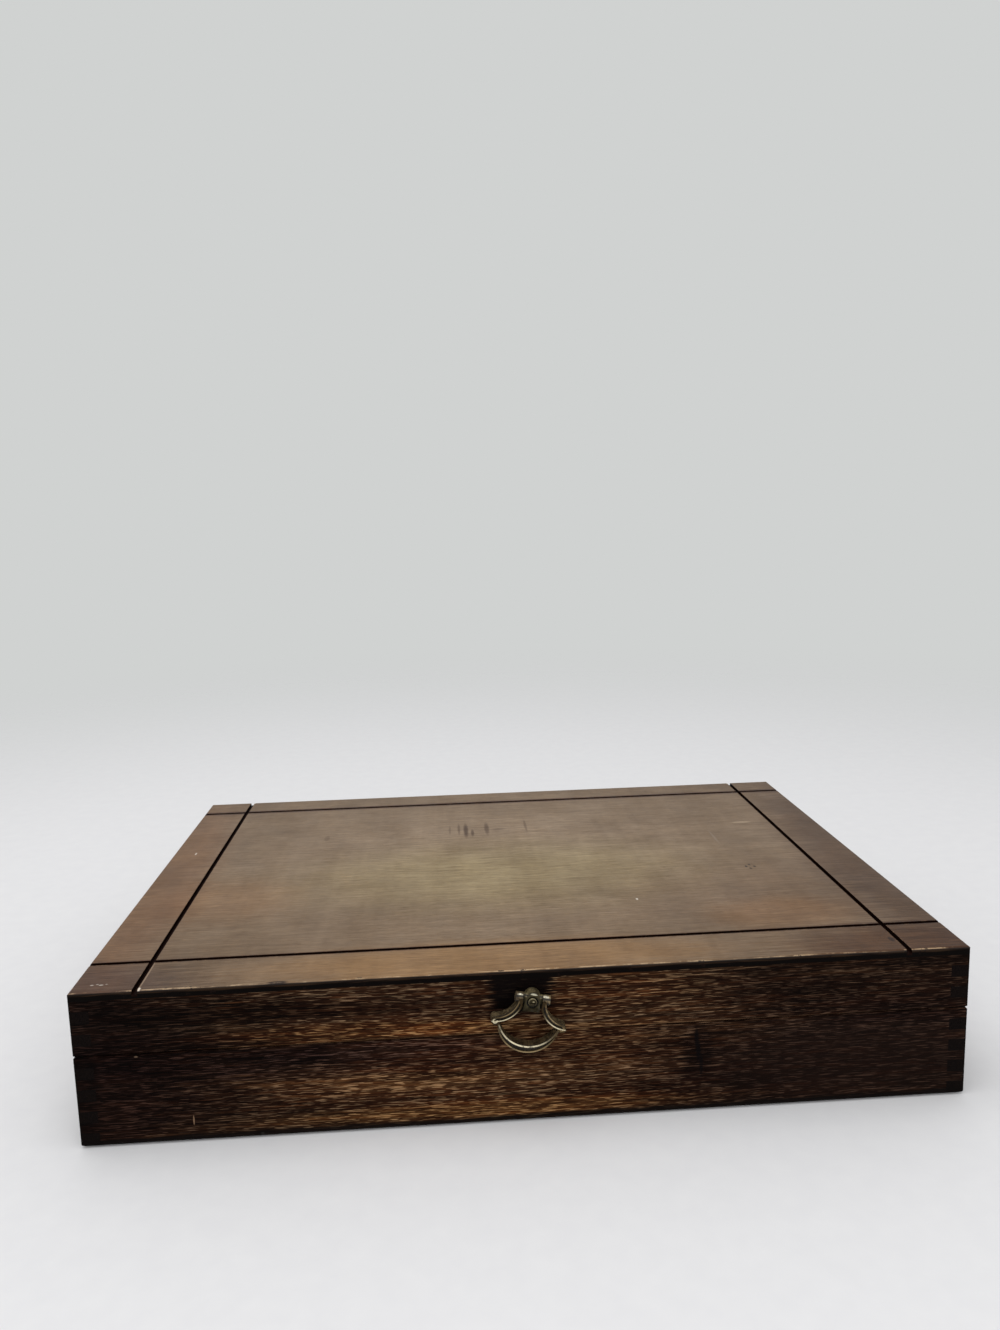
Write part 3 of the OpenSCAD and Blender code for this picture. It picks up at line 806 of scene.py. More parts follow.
@dataclass(frozen=True)
class Brass(Finish):
    """Brass that has gone brown with age and is rubbed bright where it stands out; its front gets a painted
    dark reflection and painted highlights.

    Attributes:
        name: The finish's name.
        bright: The rubbed metal.
        aged: The metal under a thin tarnish.
        grime: The dark that has settled in the hollows.
        shine: The roughness of the rubbed metal.
        tilt: How far the piece has turned about its screw, in degrees.
        centre: The screw's place across and up, in mm, from which the marks are measured.
        face: The y place in mm beyond which the front begins, or None.
        front: The darker colour painted on the front faces, a painted dark reflection.
        sunk: The y places in mm between which grime has settled, or None.
        marks: The painted highlights, painted shade and darker places, in groups, each with the y place
            beyond which it shows.
        ribs: The pitch of the shallow ribs on its sides, in mm, or nothing.
        relief: How deep its pits and ribs are, in mm.
    """

    name: str
    bright: Tone
    aged: Tone
    grime: Tone
    shine: float = 0.26
    tilt: float = 0.0
    centre: Pair = (0.0, 0.0)
    face: Optional[float] = None
    front: Tone = (0.0, 0.0, 0.0)
    sunk: Optional[Pair] = None
    marks: tuple[tuple[float, tuple[Union[Mark, Ring], ...]], ...] = ()
    ribs: float = 0.0
    relief: float = 0.09

    def fill(self, recipe: Recipe, spot: Term) -> None:
        """Feeds the recipe's shader.

        Args:
            recipe: The finish's recipe.
            spot: The place on the piece, in metres.
        """
        x, y, z = spot.in_mm()
        spots = recipe.noise(spot * 620.0, 4.0, 0.65)
        patch = recipe.noise(spot * 190.0 + (2.0, 7.0, 1.0), 3.0, 0.6)
        rubbed = (spots * 0.5 + patch * 0.5).smooth(0.44, 0.56)
        colour = recipe.mix(self.aged, self.bright, rubbed)
        dirt = spots.smooth(0.54, 0.65) * 0.7
        metal, height = 1.0, spots
        if self.face is not None:
            front = self._beyond(y, self.face)
            metal = front * 0.4 + 0.6
            turn = math.radians(self.tilt)
            side, rise = x - self.centre[0], z - self.centre[1]
            across = side * math.cos(turn) - rise * math.sin(turn)
            up = side * math.sin(turn) + rise * math.cos(turn)
            if self.ribs:
                wave = recipe.wave(across, self.ribs / 2)
                hollow = wave.smooth(self.ribs * 0.28, self.ribs * 0.04) * (1.0 - front)
                dirt = dirt.most(hollow * 0.5)
                height = spots - hollow * 0.8
            # Painted dark reflection: the front faces take the darker front colour.
            colour = colour.under(self.front, front * (1.0 - rubbed * 0.25))
            # The marks: painted highlights, painted shade and darker places, group by group.
            for start, marks in self.marks:
                colour = paint(colour, marks, (across, up), spots - 0.5, self._beyond(y, start))
        if self.sunk is not None:
            low, high = self.sunk
            settled = self._beyond(abs(y - (low + high) / 2), (high - low) / 2)
            dirt = dirt.most(settled * 0.95)
        recipe.finish(
            Base_Color=colour.under(self.grime, dirt),
            Metallic=(1.0 - dirt * 0.75) * metal,
            Roughness=self.shine + (1.0 - rubbed) * 0.2 + dirt * 0.3,
            Normal=recipe.bump(height, self.relief, 0.8),
        )

    @staticmethod
    def _beyond(place: Term, start: float) -> Term:
        """Where a place in mm is below start, with a soft limit."""
        return place.smooth(start + 0.15, start - 0.05)


@dataclass(frozen=True)
class PaperFloor(Finish):
    """A plain pale floor that fades into the backdrop, so that no horizon shows.

    Attributes:
        name: The finish's name.
        colour: The floor's colour.
        fade: Where it starts and ends fading, in metres from the middle.
    """

    name: str = "studio_paper"
    colour: Tone = tone(230, 230, 231)
    fade: Pair = (0.42, 1.5)

    def fill(self, recipe: Recipe, spot: Term) -> None:
        """Feeds the recipe's shader.

        Args:
            recipe: The finish's recipe.
            spot: The place on the piece, in metres.
        """
        speck = recipe.noise(spot * 90.0, 2.0)
        tint = recipe.mix(self.colour, tone(224, 224, 226), speck)
        recipe.finish(Base_Color=tint, Roughness=0.9, Specular_IOR_Level=0.1)
        x, y, _ = spot.parts()
        away = ((x * x + y * y) ** 0.5).smooth(*self.fade)
        clear = recipe.node("ShaderNodeBsdfTransparent", {}, {})
        recipe.show(recipe.node("ShaderNodeMixShader", {}, {0: away, 1: recipe.shader, 2: clear}))


# ---------- Modelling ----------


class Bench:
    """The bench at which new pieces are modelled with Blender's own operators."""

    @staticmethod
    def clear() -> None:
        """Deselects everything, so that an operator acts on nothing unasked."""
        bpy.ops.object.select_all(action="DESELECT")

    @staticmethod
    def take(piece: Piece) -> None:
        """Selects one piece and makes it the active one."""
        Bench.clear()
        piece.select_set(True)
        bpy.context.view_layer.objects.active = piece

    @staticmethod
    def settle(name: str) -> Piece:
        """Names the new piece and puts its place and size into its mesh."""
        piece = bpy.context.object
        piece.name = piece.data.name = name
        bpy.ops.object.transform_apply(location=True, rotation=True, scale=True)
        return piece

    @staticmethod
    def block(name: str, low: Vector, high: Vector) -> Piece:
        """Adds a block between two corners, in metres."""
        Bench.clear()
        bpy.ops.mesh.primitive_cube_add(size=1.0, location=(low + high) / 2, scale=high - low)
        return Bench.settle(name)

    @staticmethod
    def rod(name: str, middle: Vector, radius: float, length: float, sides: int) -> Piece:
        """Adds a rod that lies from front to back, with its sizes in metres."""
        Bench.clear()
        size = {"vertices": sides, "radius": radius, "depth": length}
        bpy.ops.mesh.primitive_cylinder_add(location=middle, rotation=(math.pi / 2, 0.0, 0.0), **size)
        return Bench.settle(name)

    @staticmethod
    @contextmanager
    def editing(piece: Piece, kind: Kind) -> Iterator[None]:
        """Opens a piece for picking these on it, with nothing selected, and closes it afterwards."""
        Bench.take(piece)
        bpy.ops.object.mode_set(mode="EDIT")
        bpy.ops.mesh.select_mode(type=kind.name)
        bpy.ops.mesh.select_all(action="DESELECT")
        try:
            yield
        finally:
            bpy.ops.object.mode_set(mode="OBJECT")

    @staticmethod
    def work(piece: Piece, kind: Kind, test: Callable, act: Callable, **settings: object) -> None:
        """Runs an operator on the elements of a piece that pass a test.

        Args:
            piece: The piece.
            kind: The elements to look at.
            test: Says whether an element is wanted.
            act: The operator, which isn't run where no element is.
            **settings: The operator's settings.
        """
        with Bench.editing(piece, kind):
            shape = bmesh.from_edit_mesh(piece.data)
            for element in getattr(shape, kind.value):
                element.select_set(bool(test(element)))
            shape.select_flush_mode()
            bmesh.update_edit_mesh(piece.data)
            if any(element.select for element in getattr(shape, kind.value)):
                act(**settings)

    @staticmethod
    def round_edges(piece: Piece, test: Callable, radius: float, segments: int = 3) -> None:
        """Rounds the edges that pass a test by this radius, in mm."""
        settings = {"offset": radius * MM, "segments": segments, "affect": "EDGES"}
        Bench.work(piece, Kind.EDGE, test, bpy.ops.mesh.bevel, **settings)

    @staticmethod
    def apply(piece: Piece, kind: str, **settings: object) -> None:
        """Adds a modifier of this type with these settings and applies it."""
        Bench.take(piece)
        modifier = piece.modifiers.new(kind.lower(), kind)
        for key, value in settings.items():
            setattr(modifier, key, value)
        bpy.ops.object.modifier_apply(modifier=modifier.name)

    @staticmethod
    def smooth(piece: Piece, degrees: float = 40.0) -> None:
        """Shades a piece smoothly, apart from its sharp edges."""
        Bench.take(piece)
        bpy.ops.object.shade_smooth_by_angle(angle=math.radians(degrees))

    @staticmethod
    def join(pieces: list[Piece]) -> Piece:
        """Joins pieces into the first of them."""
        Bench.take(pieces[0])
        for piece in pieces:
            piece.select_set(True)
        bpy.ops.object.join()
        return pieces[0]


def dress(piece: Piece, material: Material) -> None:
    """Gives a piece or CAD node its finish."""
    if not piece.material_slots:
        piece.data.materials.append(material)
    for slot in piece.material_slots:
        slot.material = material


def dress_nodes(groups: dict[Finish, tuple[str, ...]]) -> None:
    """Mixes each finish once and gives it to the CAD nodes that it is for."""
    for finish, names in groups.items():
        material = finish.material()
        for name in names:
            dress(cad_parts[name], material)
            LOG.info("%s: %s", name, finish.name)


def stand_in(piece: Piece, node: str, body: Body, material: Material) -> None:
    """Puts a new piece in a CAD node's place.

    Args:
        piece: The new piece.
        node: The CAD node.
        body: The body that it rides on.
        material: Its finish.
    """
    dress(piece, material)
    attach(piece, body.value)
    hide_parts(node)


# ---------- Sub-assemblies ----------


@dataclass
class Boards:
    """The chest's boards and panels, which come from the CAD frame and get their wood here.

    Attributes:
        stain: The walls' stain from its darkest streaks to its lightest.
        foot: The height of the painted shade band at the base's foot, in mm.
        lid_rows: The height of the lid's first finger's foot and of one finger, in mm.
        side_end: Where the end grain of the side boards starts, in mm from the middle.
    """

    stain: tuple[Tone, ...] = (tone(17, 6, 1), tone(38, 22, 12), tone(66, 45, 28), tone(108, 82, 56))
    foot: float = 3.4
    lid_rows: Pair = (43.0, 5.15)
    side_end: float = 139.2

    def lid_front_marks(self) -> tuple[Mark, ...]:
        """What has happened to the lid's front: streaks of the figure, a near-black patch round the pull,
        and painted shade under the pull, under the top's edge and towards both ends.
        """
        return (
            Mark(-126, 59.4, (80, 4.2), (0.42, 0.36, 0.34), soft=0.9),
            Mark(-78, 57.0, (46, 1.6), (0.62, 0.54, 0.50)),
            Mark(-78, 47.6, (64, 4.4), (1.62, 1.40, 1.04), soft=0.9),
            Mark(-168, 46.4, (44, 6.0), (0.66, 0.60, 0.66), soft=0.9),
            Mark(-24, 46.5, (26, 4.0), (1.22, 1.14, 1.0), soft=0.9),
            Mark(32, 44.4, (38, 1.8), (1.6, 1.45, 1.2), soft=0.8),
            Mark(36, 60, (46, 9.0), (1.24, 1.16, 1.02), soft=0.9),
            Mark(112, 57, (26, 9.0), (0.62, 0.58, 0.60), soft=1.0),
            # Painted shade just under the top's edge, on the right.
            Mark(160, 67.2, (70, 2.4), (0.50, 0.46, 0.46), soft=0.8),
            Mark(150, 46, (78, 5.0), (0.70, 0.66, 0.70), soft=0.9),
            # The next two are painted shade, darkening the board towards both ends.
            Mark(212, 55, (122, 34), (0.36, 0.33, 0.36), soft=1.3),
            Mark(-212, 57, (92, 36), (0.15, 0.12, 0.15), soft=1.2),
            *covering(
                Mark(42, 43.6, (60, 0.4), tone(138, 104, 74), 0.45, 0.9, 1.0),
                Mark(120, 43.5, (60, 0.25), tone(100, 76, 58), 0.25, 0.9, 1.0),
                Mark(-70, 43.4, (60, 0.3), tone(136, 104, 70), 0.3, 0.9, 1.0),
                Mark(-4.5, 63.6, (14.5, 11.5), tone(7, 4, 4), 0.96, 0.35, 1.1, square=True),
            ),
            # Painted shade under the pull, between the bracket and the bail's left shoulder.
            Mark(-13, 54.6, (7.0, 5.0), (0.45, 0.36, 0.38)),
        )

    def base_front_marks(self) -> tuple[Mark, ...]:
        """What has happened to the base's front: figure, a smudge, a dent and a scratch, and painted shade
        towards both ends.
        """
        return (
            Mark(-66, 38.8, (60, 5.2), (0.48, 0.44, 0.56), soft=0.9),
            Mark(-142, 37.6, (62, 8.0), (0.46, 0.40, 0.48), soft=0.9),
            Mark(-92, 31.2, (70, 4.6), (0.70, 0.66, 0.72), soft=1.0),
            Mark(-22, 31.4, (36, 3.6), (0.74, 0.70, 0.70), soft=0.9),
            # The next two are painted shade, darkening the board towards both ends.
            Mark(-212, 24, (96, 50), (0.20, 0.15, 0.19), soft=1.2),
            Mark(154, 20, (110, 40), (0.32, 0.28, 0.34), soft=1.1),
            Mark(-4, 26, (78, 26), (1.28, 1.22, 1.14), soft=1.2),
            Mark(-72, 22.4, (58, 6.4), (1.26, 1.18, 1.06), soft=1.0),
            Mark(-14, 7.4, (104, 3.8), (1.48, 1.34, 1.04), soft=0.9),
            *covering(Mark(148, 21, (62, 19), tone(27, 17, 13), 0.5, 1.2, 0.5)),
            Mark(12, 38.0, (46, 5), (1.2, 1.14, 1.04), soft=1.0),
            Mark(176, 40.4, (40, 3.2), (0.66, 0.60, 0.64), soft=0.9),
            Mark(-199, 30, (9, 44), (0.45, 0.40, 0.40), soft=0.8),
            Mark(75, 29, (7, 13), (0.50, 0.46, 0.50)),
            *covering(
                Mark(74.2, 35.6, (0.9, 4.6), tone(8, 5, 6), 0.85, 0.8, 0.12),
                Mark(75.1, 29.6, (1.0, 4.8), tone(8, 5, 6), 0.85, 0.8, 0.12),
                Mark(76.4, 22.6, (0.8, 5.4), tone(8, 5, 6), 0.75, 0.8, 0.12),
                Mark(-150.5, 10.4, (0.32, 2.2), tone(150, 120, 94), 0.62, 0.6, 0.3),
                Mark(-173.1, 41.8, (0.8, 0.35), tone(130, 108, 88), 0.5, 0.6, 0.3),
                Mark(-121, 1.9, (0.8, 0.7), tone(150, 145, 135), 0.7, 0.5, 0.2),
            ),
        )

    def top_marks(self) -> tuple[Mark, ...]:
        """What is on the top: a painted sheen across its middle, rubbed and reddened stain, and small dark
        and pale marks.
        """
        dark, black, pale = tone(56, 30, 11), tone(30, 14, 8), tone(205, 196, 184)
        spots = (
            Mark(-33.0, 59, (0.7, 8), dark, 0.35, 1.0),
            Mark(-27.2, 60, (0.8, 10), dark, 0.5, 1.0),
            Mark(-22.8, 57, (1.4, 12), dark, 0.8, 1.0),
            Mark(-18.8, 52, (1.0, 6), dark, 0.7, 1.0),
            Mark(-9.5, 59, (1.4, 11), dark, 0.62, 1.0),
            Mark(-2.0, 57, (5.0, 1.6), dark, 0.36, 1.0),
            Mark(15.5, 62, (0.8, 11), dark, 0.42, 1.0),
            Mark(-110.0, 53, (1.6, 5), dark, 0.3),
            Mark(128.0, 23, (0.7, 11), pale, 0.08),
            Mark(131.8, -28.0, (0.7, 1.3), black, 0.85),
            Mark(133.4, -31.2, (0.8, 1.2), black, 0.7),
            Mark(134.2, -25.6, (0.7, 1.2), black, 0.7),
            Mark(136.4, -28.6, (0.8, 1.2), black, 0.8),
            Mark(168.3, -128.4, (1.2, 2.6), black, 0.8),
            Mark(153.0, 49.5, (6.0, 1.6), tone(168, 148, 124), 0.55),
            Mark(62.1, -66.9, (0.6, 1.1), pale, 0.8),
            Mark(-186.7, 35.2, (0.5, 1.8), pale, 0.8),
            Mark(-191.6, -132.9, (0.8, 0.5), pale, 0.5),
            Mark(-189.4, -132.4, (0.6, 0.4), pale, 0.4),
            Mark(-187.6, -133.1, (1.0, 0.5), pale, 0.55),
            Mark(-185.4, -132.6, (0.5, 0.4), pale, 0.35),
            Mark(-169.9, -126.0, (0.4, 13.5), tone(160, 136, 112), 0.55),
            Mark(-170.4, -138.8, (1.2, 1.6), tone(226, 215, 200), 0.95),
            Mark(-110.8, -139.2, (4.0, 1.0), black, 0.9),
            Mark(-171.0, 138.5, (1.4, 1.6), tone(226, 220, 210), 0.8),
            Mark(171.0, 138.5, (1.4, 1.6), tone(215, 208, 198), 0.7),
        )
        return (
            # The first two glazes are a painted sheen: the pale greenish reflection across the top's
            # middle.
            Mark(-10, 20, (150, 104), (1.45, 1.56, 1.68), soft=1.3, ragged=0.5),
            Mark(-5, -20, (96, 44), (1.16, 1.24, 1.04), soft=1.4, ragged=0.9),
            Mark(-20, -128, (96, 18), (1.50, 1.31, 0.98), soft=0.9),
            Mark(126, -62, (58, 44), (0.95, 0.92, 0.92), soft=1.3),
            Mark(-200, -10, (30, 150), (1.0, 0.84, 0.74), soft=0.8),
            Mark(-150, -42, (30, 26), (1.10, 0.98, 0.86), soft=1.2),
            Mark(132, -92, (34, 18), (1.12, 0.98, 0.82), soft=1.0),
            Mark(204, -20, (34, 160), (0.60, 0.53, 0.52), soft=0.9),
            Mark(-196, -134, (44, 20), (0.55, 0.48, 0.52), soft=1.0),
            Mark(176, -134, (50, 22), (0.56, 0.40, 0.30), soft=1.0),
            *covering(*(replace(mark, ragged=0.5) for mark in spots)),
        )

    def _wood(self, wall: Wall, half: Half, seed: float, **more: object) -> Walnut:
        """Chooses a board's finish.

        Args:
            wall: The wall that the board is.
            half: The half of the box that it is on.
            seed: The number that sets its figure apart.
            **more: What else is its own.

        Returns:
            The finish.
        """
        lie = {"grain": Axis.X, "face": (Axis.X, Axis.Z)}
        if wall is Wall.SIDE:
            lie = {"grain": Axis.Y, "face": (Axis.Y, Axis.Z), "end": self.side_end}
        # The base's boards get the painted shade band along their foot; the lid's boards get their finger
        # rows.
        rows = {"rows": self.lid_rows} if half is Half.LID else {"foot": self.foot}
        name = f"walnut_{wall.value}_{half.value}"
        return Walnut(name, tones=self.stain, streaks=Streaks(seed=seed), **lie, **rows, **more)

    def build(self) -> None:
        """Dresses every board."""
        side = {"dusty": 0.34, "marks": (Mark(0, 36, (230, 90), (0.72, 0.68, 0.68)),)}
        back = {"dusty": 0.42, "marks": (Mark(0, 36, (330, 90), (0.76, 0.72, 0.72)),)}
        veneer = tone(88, 69, 51), tone(108, 88, 68), tone(128, 107, 85)
        dress_nodes(
            {
                self._wood(Wall.FRONT, Half.BASE, 2.0, marks=self.base_front_marks()): ("base_front",),
                self._wood(Wall.FRONT, Half.LID, 5.0, marks=self.lid_front_marks()): ("lid_front",),
                self._wood(Wall.BACK, Half.BASE, 21.0, **back): ("base_back",),
                self._wood(Wall.BACK, Half.LID, 17.0, **back): ("lid_back",),
                self._wood(Wall.SIDE, Half.BASE, 12.0, **side): ("base_left", "base_right"),
                self._wood(Wall.SIDE, Half.LID, 14.0, **side): ("lid_left", "lid_right"),
                GroovedTop("walnut_top", veneer, self.top_marks()): ("lid_top",),
                BottomPly(): ("base_bottom",),
            }
        )


@dataclass
class Hardware:
    """The hinges, their screws and the small crooked pull, which come from the CAD frame.

    Attributes:
        hinge: The finish of the hinges' leaves.
        pin: The finish of their pins and screws.
        pull_tilt: How far the pull has turned about its screw, in degrees.
        pull_centre: That screw's place across and up, in mm.
    """

    hinge: Brass = Brass("aged_brass", tone(176, 146, 92), tone(122, 95, 56), tone(44, 32, 20), 0.34)
    pin: Brass = Brass("aged_brass_pin", tone(190, 162, 110), tone(140, 112, 70), tone(50, 38, 24), 0.3)
    pull_tilt: float = 11.0
    pull_centre: Pair = (0.0, 59.8)

    def bail_glints(self) -> tuple[Ring, ...]:
        """The painted highlights on the bail's two rims, from its arcs' own centres and radii."""
        cream, tan = tone(252, 240, 204), tone(170, 148, 110)
        return (
            Ring(0, -6.6, 14.0, 0.34, -1.5, 12.0, -12.0, cream, 1.0),
            Ring(0, -9.5, 13.6, 0.26, 0.0, 12.0, -15.0, tan, 0.9),
            Ring(-16.2, 1.4, 12.1, 0.22, -11.5, 6.0, -4.0, cream, 0.75),
            Ring(16.2, 1.4, 12.1, 0.24, 13.0, 6.5, -4.0, cream, 0.85),
            Ring(16.2, 1.4, 10.4, 0.22, 9.5, 4.5, 0.0, tan, 0.8),
            Ring(-16.2, 1.4, 10.4, 0.22, -9.5, 4.5, 0.0, tan, 0.6),
            Ring(-14.9, -10.4, 0.9, 0.3, -14.9, 1.6, -9.6, cream, 0.7),
            Ring(14.9, -10.4, 0.9, 0.3, 14.9, 1.6, -9.6, tan, 0.5),
        )

    def bracket_marks(self) -> tuple[Mark, ...]:
        """The bracket's front: darker below the screw, painted shade along its sides beside the bail's
        eyes, and a painted highlight on its top arris.
        """
        cream, dark = tone(226, 220, 194), tone(22, 19, 13)
        return covering(
            # Darker below the screw.
            Mark(0, -3.6, (4.4, 1.5), dark, 0.7, 0.8, 0.6),
            # Painted shade along the two sides, beside the bail's eyes.
            Mark(-3.9, 0, (0.5, 3.4), dark, 0.7, 0.8, 0.6),
            Mark(3.9, 0, (0.5, 3.4), dark, 0.7, 0.8, 0.6),
            # Painted highlight along the top front arris.
            Mark(0.2, 3.95, (1.9, 0.55), cream, 0.95, 0.8, 0.6),
        )

    def _pull(self, name: str, tones: tuple[Tone, Tone, Tone], **more: object) -> Brass:
        """A finish of the pull, with its rubbed, aged and grimy tones and what else is its own."""
        return Brass(f"old_brass_{name}", *tones, 0.3, self.pull_tilt, self.pull_centre, **more)

    def bail(self) -> Brass:
        """The bail's finish, with painted highlights on its rims in front and one on each eye behind them,
        and a darker band inside its lower arc.
        """
        cream, brown = tone(240, 232, 206), tone(44, 31, 19)
        # A darker band along the inner side of the lower arc.
        hollow = Ring(0, -6.6, 12.4, 1.3, 0.0, 15.0, -9.0, brown, 0.85)
        # Painted highlights on the upper fronts of the two eyes.
        glints = (Mark(*eye, (1.1, 0.45), cream, 0.95, 0.8, 0.6) for eye in ((-5.9, 2.5), (5.7, 2.8)))
        return self._pull(
            "bail",
            (tone(148, 129, 95), tone(74, 60, 39), tone(18, 12, 7)),
            face=-145.75,
            # The front colour is a painted dark reflection.
            front=tone(62, 50, 33),
            sunk=(-145.45, -145.0),
            marks=((-141.0, (hollow,)), (-145.75, self.bail_glints()), (-143.9, covering(*glints))),
            ribs=1.3,
        )

    def bracket(self) -> Brass:
        """The bracket's finish, with a painted dark reflection on its front."""
        return self._pull(
            "bracket",
            (tone(136, 122, 90), tone(76, 66, 44), tone(20, 16, 11)),
            face=-145.3,
            # The front colour is a painted dark reflection.
            front=tone(62, 56, 40),
            sunk=(-145.0, -144.5),
            marks=((-144.9, self.bracket_marks()),),
        )

    def screw(self) -> Brass:
        """The pull screw's finish, with painted highlights round its head and on it, and a painted dark
        reflection on its front.
        """
        pale = tone(172, 160, 128)
        # Painted highlights: a pale ring round the head and a glint on it.
        ring = Ring(0, 0, 1.75, 0.14, 0.0, 4.0, 9.0, pale, 0.8)
        glint = Mark(0.3, 0.5, (0.5, 0.35), pale, 0.8, 0.8, 0.6)
        return self._pull(
            "screw",
            (tone(104, 94, 70), tone(56, 50, 36), tone(20, 16, 11)),
            face=-144.8,
            # The front colour is a painted dark reflection.
            front=tone(50, 44, 31),
            marks=((-144.8, (ring, *covering(glint))),),
        )

    def build(self) -> None:
        """Dresses every piece of brass."""
        dress_nodes(
            {
                self.hinge: ("left_base_leaf", "right_base_leaf", "left_lid_leaf", "right_lid_leaf"),
                self.pin: ("left_hinge_pin", "right_hinge_pin", "base_leaf_screws", "lid_leaf_screws"),
                self.bail(): ("pull_bail",),
                self.bracket(): ("pull_bracket",),
                self.screw(): ("pull_screw",),
            }
        )


@dataclass
class Lining:
    """A felt on thin card that is glued inside the chest.

    Attributes:
        node: The CAD node that it stands for.
        body: The body that it rides on.
        glued_to: The CAD nodes that it is glued to; it is not used.
        free_up: Whether its napped face, or its free edge, is the upper one.
        soft: How round its edge is, in mm.
    """

    node: str
    body: Body
    glued_to: tuple[str, ...]
    free_up: bool
    soft: float = 0.45

    def build(self, material: Material) -> Piece:
        """Models the lining.

        Args:
            material: Its felt.

        Returns:
            The lining as one piece.
        """
        low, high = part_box(self.node)
        felt, flat = self._model(low, high)
        felt.name = felt.data.name = self.node + "_felt"
        Bench.smooth(felt, 50)
        stand_in(felt, self.node, self.body, material)
        list(self.glued_to)
        return felt

    def _model(self, low: Vector, high: Vector) -> tuple[Piece, Pair]:
        """Models the felt between two corners.

        Args:
            low: Its lowest corner, in metres.
            high: Its highest corner, in metres.

        Returns:
            The piece and its flat size.
        """
        raise NotImplementedError


@dataclass
class FlatFelt(Lining):
    """The felt on the chest's floor or under the lid's ceiling.

    Attributes:
        border: How wide the border of its napped face is, in mm.
        cuts: How often the face inside it, and its front and back, are cut along each side.
    """

    border: float = 3.0
    cuts: int = 52

    def _model(self, low: Vector, high: Vector) -> tuple[Piece, Pair]:
        """Models the sheet, with its edge rounded and its napped face divided."""
        sheet = Bench.block(self.node + "_felt", low, high)
        span = high - low
        rim = high.z if self.free_up else low.z
        settings = {"thickness": self.border * MM, "depth": 0.0}
        Bench.work(sheet, Kind.FACE, self._napped, bpy.ops.mesh.inset, **settings)
        Bench.round_edges(sheet, lambda edge: self._on_rim(edge, rim, low, high), self.soft)

        def is_inner(face: bmesh.types.BMFace) -> bool:
            """Whether a face is napped and not the left or right part of the border."""
            return self._napped(face) and abs(face.calc_center_median().x) < span.x / 4

        Bench.work(sheet, Kind.FACE, is_inner, bpy.ops.mesh.subdivide, number_cuts=self.cuts)
        return sheet, (span.y, span.x)

    def _napped(self, face: bmesh.types.BMFace) -> bool:
        """Whether a face looks the way that the nap does."""
        return face.normal.z * (1.0 if self.free_up else -1.0) > 0.5

    @staticmethod
    def _on_rim(edge: bmesh.types.BMEdge, rim: float, low: Vector, high: Vector) -> bool:
        """Whether an edge is one of the four round the napped face."""
        first, last = (vert.co for vert in edge.verts)
        middle = (first + last) / 2
        outer = min(middle.x - low.x, high.x - middle.x, middle.y - low.y, high.y - middle.y)
        return max(abs(first.z - rim), abs(last.z - rim), outer) < NEAR


@dataclass
class WallFelt(Lining):
    """Four strips of felt, glued round the inside of the walls, whose free edge is rolled over.

    Attributes:
        soft: How round that edge is, in mm.
        thick: The felt's thickness with its card, in mm.
    """

    soft: float = 0.5
    thick: float = 1.2

    def _model(self, low: Vector, high: Vector) -> tuple[Piece, Pair]:
        """Models the strips and joins them, with their flat size end to end."""
        thick = self.thick * MM
        corners = (
            (low, Vector((high.x, low.y + thick, high.z))),
            (Vector((low.x, high.y - thick, low.z)), high),
            (Vector((low.x, low.y + thick, low.z)), Vector((low.x + thick, high.y - thick, high.z))),
            (Vector((high.x - thick, low.y + thick, low.z)), Vector((high.x, high.y - thick, high.z))),
        )
        strips = [self._strip(f"{self.node}_strip_{number}", *pair) for number, pair in enumerate(corners)]
        length = 2 * (high.x - low.x) + 2 * (high.y - low.y - 2 * thick)
        return Bench.join(strips), (high.z - low.z, length)

    def _strip(self, name: str, low: Vector, high: Vector) -> Piece:
        """Models one strip with its free edge rolled over.

        Args:
            name: The strip's name.
            low: Its lowest corner, in metres.
            high: Its highest corner, in metres.

        Returns:
            The strip.
        """
        strip = Bench.block(name, low, high)
        free = high.z if self.free_up else low.z
        span = high - low
        along = 0 if span.x > span.y else 1

        def is_free(edge: bmesh.types.BMEdge) -> bool:
            """Whether an edge runs along the strip's free side."""
            first, last = (vert.co for vert in edge.verts)
            level = max(abs(first.z - free), abs(last.z - free)) < NEAR
            return level and abs(first[along] - last[along]) > LONG

        Bench.round_edges(strip, is_free, self.soft)
        Bench.work(strip, Kind.FACE, lambda face: True, bpy.ops.mesh.subdivide, number_cuts=3)
        return strip


class Cut(Enum):
    """The shapes cut into the racks: a U for a stack, a slot for a blade, a hollow for a handle.

    Each has the number of sides of the rod that cuts it.
    """

    STACK = 44
    BLADE = 16
    HANDLE = 26


